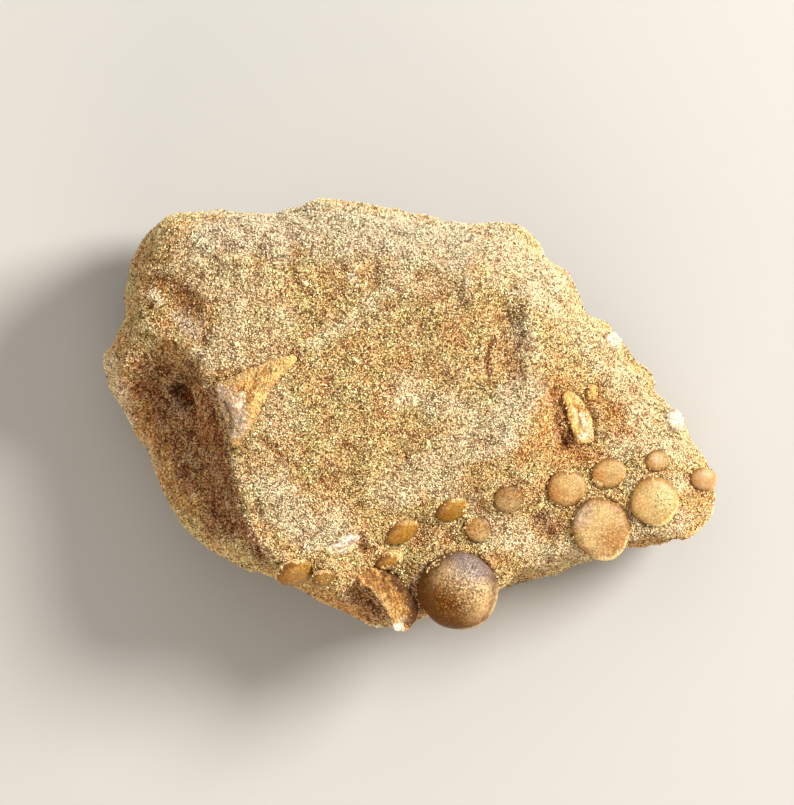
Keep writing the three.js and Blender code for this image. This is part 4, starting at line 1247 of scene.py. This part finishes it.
def makeGrainTree():
    tree = bpy.data.node_groups.new("strewnGrains", "GeometryNodeTree")
    for name, kind in (
        ("Bed", "NodeSocketGeometry"), ("Spacing", floatSocket), ("Size", floatSocket),
        ("From", floatSocket), ("To", floatSocket), ("Lift", floatSocket), ("Wobble", floatSocket),
        ("Bend", floatSocket), ("Seed", "NodeSocketInt"),
        ("Segments", "NodeSocketInt"), ("Rings", "NodeSocketInt"), ("Finish", "NodeSocketMaterial"),
    ):
        tree.interface.new_socket(name, in_out="INPUT", socket_type=kind)
    tree.interface.new_socket("Grains", in_out="OUTPUT", socket_type="NodeSocketGeometry")
    given, out = tree.nodes.new("NodeGroupInput"), tree.nodes.new("NodeGroupOutput")
    value = given.outputs

    def step(kind, inputs, output="Geometry", **settings):
        return addNode(tree, "GeometryNode" + kind, inputs, **settings).outputs[output]

    def chance(kind, low, high, seed):
        node = addNode(tree, "FunctionNodeRandomValue", {"Seed": seed}, data_type=kind)
        first = 0 if kind == "FLOAT_VECTOR" else 2
        node.inputs[first].default_value = low
        node.inputs[first + 1].default_value = high
        return node.outputs[0 if kind == "FLOAT_VECTOR" else 1]

    # places on the bed, of which each kind takes its own share
    scatter = addNode(tree, "GeometryNodeDistributePointsOnFaces", {
        "Mesh": value["Bed"], "Distance Min": value["Spacing"], "Density Max": 3e7,
        "Density Factor": step("InputNamedAttribute", {"Name": "sandy"}, "Attribute", data_type="FLOAT"),
        "Seed": value["Seed"],
    }, distribute_method="POISSON")
    draw = chance("FLOAT", 0.0, 1.0, 1)
    below = maths(tree, "LESS_THAN", draw, value["From"])
    above = minus(tree, 1.0, maths(tree, "LESS_THAN", draw, value["To"]))
    others = maths(tree, "MAXIMUM", below, above)
    grains = step("DeleteGeometry", {"Geometry": scatter.outputs["Points"], "Selection": others},
                  domain="POINT")
    rise = plus(tree, chance("FLOAT", -0.22, 0.22, 2), value["Lift"])
    lift = scaled(tree, scatter.outputs["Normal"], times(tree, rise, value["Size"]))
    grains = step("SetPosition", {"Geometry": grains, "Offset": lift})
    # a ball on each place, stretched and turned by chance, most of them small
    ball = step("MeshUVSphere", {
        "Segments": value["Segments"], "Rings": value["Rings"], "Radius": 0.56,
    }, "Mesh")
    ball = step("Triangulate", {"Mesh": ball}, "Mesh")
    girth = maths(tree, "POWER", chance("FLOAT", 0.0, 1.0, 5), 2.0)
    girth = times(tree, maths(tree, "MULTIPLY_ADD", girth, 0.55, 0.6), value["Size"])
    stretch = chance("FLOAT_VECTOR", (0.75, 0.75, 0.75), (1.3, 1.3, 1.3), 3)
    turned = addNode(tree, "FunctionNodeEulerToRotation",
                     {"Euler": chance("FLOAT_VECTOR", (0, 0, 0), (6.3, 6.3, 6.3), 4)})
    grains = step("InstanceOnPoints", {
        "Points": grains, "Instance": ball, "Rotation": turned.outputs["Rotation"],
        "Scale": scaled(tree, stretch, girth),
    }, "Instances")
    grains = step("StoreNamedAttribute", {
        "Geometry": grains, "Name": "tone", "Value": chance("FLOAT", 0.0, 1.0, 6),
    }, data_type="FLOAT", domain="INSTANCE")
    grains = step("RealizeInstances", {"Geometry": grains})
    # each is bent out of true and left with flat faces
    rate = maths(tree, "DIVIDE", 1.0, value["Wobble"])
    wobble = addNode(tree, "ShaderNodeTexNoise", {"Scale": rate, "Detail": 0.0})
    centred = vectorMaths(tree, "SUBTRACT", wobble.outputs["Color"], (0.5, 0.5, 0.5), "Vector")
    grains = step("SetPosition", {"Geometry": grains, "Offset": scaled(tree, centred, value["Bend"])})
    grains = step("SetShadeSmooth", {"Geometry": grains, "Shade Smooth": False})
    grains = step("SetMaterial", {"Geometry": grains, "Material": value["Finish"]})
    tree.links.new(grains, out.inputs["Grains"])
    return tree


def grainMaterial(name, tones):
    material, tree, shader = newMaterial(name, {"Roughness": 0.75, "Specular IOR Level": 0.2})
    within = noiseAt(tree, places(tree), 0.2 * mm, 1.0)
    patch = noiseAt(tree, places(tree), 3.5 * mm, 3.0)
    tone = plus(tree, painted(tree, "tone"), minus(tree, within, 0.5))
    tone = maths(tree, "MULTIPLY_ADD", minus(tree, patch, 0.5), 0.9, tone, clamp=True)
    colour = ramp(tree, tone, [(place, shade(*tint)) for place, tint in zip((0, 0.5, 1), tones)])
    stained = useGroup(tree, stainAndShadeGroup, {"Colour": colour, "Raggedness": 0.5})
    connect(tree, shader, stained.outputs["Colour"])
    return material


def mapGrains(mesh, cornersEach):
    # every grain gets its own small cell of the piece's map
    corners = len(mesh.loops)
    across = math.ceil(math.sqrt(corners / cornersEach))
    number = np.arange(corners) // cornersEach
    turn = np.arange(corners) % 3 * 2 * math.pi / 3 + 0.6
    cell = np.stack([number % across, number // across], 1) + 0.5
    spots = (cell + 0.42 * np.stack([np.cos(turn), np.sin(turn)], 1)) / across
    layer = mesh.uv_layers.new(name="OFBake", do_init=False)
    layer.uv.foreach_set("vector", spots.astype(np.float32).ravel())


def strewn(name, tree, bed, look, start=0.0):
    # one mesh of the grains whose draw falls within their share, from start on
    size = look["size"] * look.get("larger", 1.0)
    values = {
        "Spacing": look["spacing"] * mm, "Size": size * mm, "Lift": look["lift"],
        "From": start, "To": start + look["share"], "Seed": look["seed"],
        "Segments": look["segments"], "Rings": look["rings"], "Wobble": look["wobble"] * mm,
        "Bend": look["bend"] * mm, "Finish": grainMaterial(name, look["tones"]),
    }
    source = newObject(name + "_source", bed)
    strew = source.modifiers.new("strew", "NODES")
    strew.node_group = tree
    for item in tree.interface.items_tree:
        if item.name in values:
            strew[item.identifier] = values[item.name]
    graph = bpy.context.evaluated_depsgraph_get()
    mesh = bpy.data.meshes.new_from_object(source.evaluated_get(graph))
    bpy.data.objects.remove(source)
    points = pointsOf(mesh)
    points[:, 2] = np.maximum(points[:, 2], 0)
    setPoints(mesh, points)
    mapGrains(mesh, 3 * 2 * look["segments"] * (look["rings"] - 1))
    piece = newObject(name, mesh)
    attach(piece, "root")
    print(name, len(mesh.polygons), "faces")


def makeGrains(bed):
    tree = makeGrainTree()
    start = 0.0
    for name, kind in grainKinds.items():
        strewn(name, tree, bed, {**grainLook, **kind}, start)
        start += kind["share"]
    strewn("worn_flecks", tree, bed, fleckLook)
    bpy.data.meshes.remove(bed)


makeGrains(sandBed([(rock, paintedOn(rock.data, "sandy")), *teeth, *scraps]))
print("grains strewn")


# The studio, in metres, except that floorDrop is in mm.
studio = {
    "floorSize": 3.0, "floorDrop": 0.05, "floorColour": shade(170, 168, 164),
    "sky": (1.0, 0.98, 0.95, 1.0), "skyStrength": 0.34, "lampDistance": 1.1,
    # compass way and height in degrees, power, size, colour
    "lamps": {
        "key": (26, 42, 23.4, 0.42, (1.0, 0.975, 0.93)),
        "fill": (100, 62, 4, 1.2, (1.0, 0.98, 0.95)),
        "bounce": (282, 24, 7.6, 1.0, (1.0, 0.88, 0.72)),
        "left": (192, 16, 4.0, 0.8, (1.0, 0.88, 0.72)),
    },
}
cameraLook = {
    "distance": 2.0,        # from the middle height of the lump
    "frameWidth": 135.8,    # mm across the picture
    "aside": (-2.3, 2.05),  # where the picture's centre falls, mm from the box centre
}


def makeFloor(look):
    half, drop = look["floorSize"] / 2, -look["floorDrop"] * mm
    mesh = bpy.data.meshes.new("floor")
    corners = [(-half, -half, drop), (half, -half, drop), (half, half, drop), (-half, half, drop)]
    mesh.from_pydata(corners, [], [(0, 1, 2, 3)])
    material = newMaterial("pale_floor", {"Base Color": look["floorColour"], "Roughness": 0.9})[0]
    mesh.materials.append(material)
    newObject("floor", mesh)


def addLamp(name, distance, compass, height, power, size, colour):
    lamp = bpy.data.lights.new(name, "AREA")
    lamp.shape = "DISK"
    lamp.size = size
    lamp.energy = power
    lamp.color = colour
    turn, rise = math.radians(compass), math.radians(height)
    out = Vector((math.cos(turn) * math.cos(rise), math.sin(turn) * math.cos(rise), math.sin(rise)))
    holder = newObject(name, lamp)
    holder.location = out * distance
    holder.rotation_euler = out.to_track_quat("Z", "Y").to_euler()


def makeCamera(look):
    camera = bpy.data.cameras.new("camera")
    camera.sensor_fit = "HORIZONTAL"
    camera.lens = camera.sensor_width * look["distance"] / (look["frameWidth"] * mm)
    camera.clip_end = 10
    holder = newObject("camera", camera)
    aside = Vector((look["aside"][0] * mm, look["aside"][1] * mm, look["distance"]))
    holder.location = (boxLow + boxHigh) / 2 + aside
    bpy.context.scene.camera = holder


def makeSky(look):
    sky = bpy.data.worlds.new("sky")
    sky.use_nodes = True
    background = sky.node_tree.nodes["Background"]
    background.inputs["Color"].default_value = look["sky"]
    background.inputs["Strength"].default_value = look["skyStrength"]
    bpy.context.scene.world = sky


makeFloor(studio)
for name, values in studio["lamps"].items():
    addLamp(name, studio["lampDistance"], *values)
makeCamera(cameraLook)
makeSky(studio)
bpy.context.scene.view_settings.view_transform = "Standard"
print("studio ready")
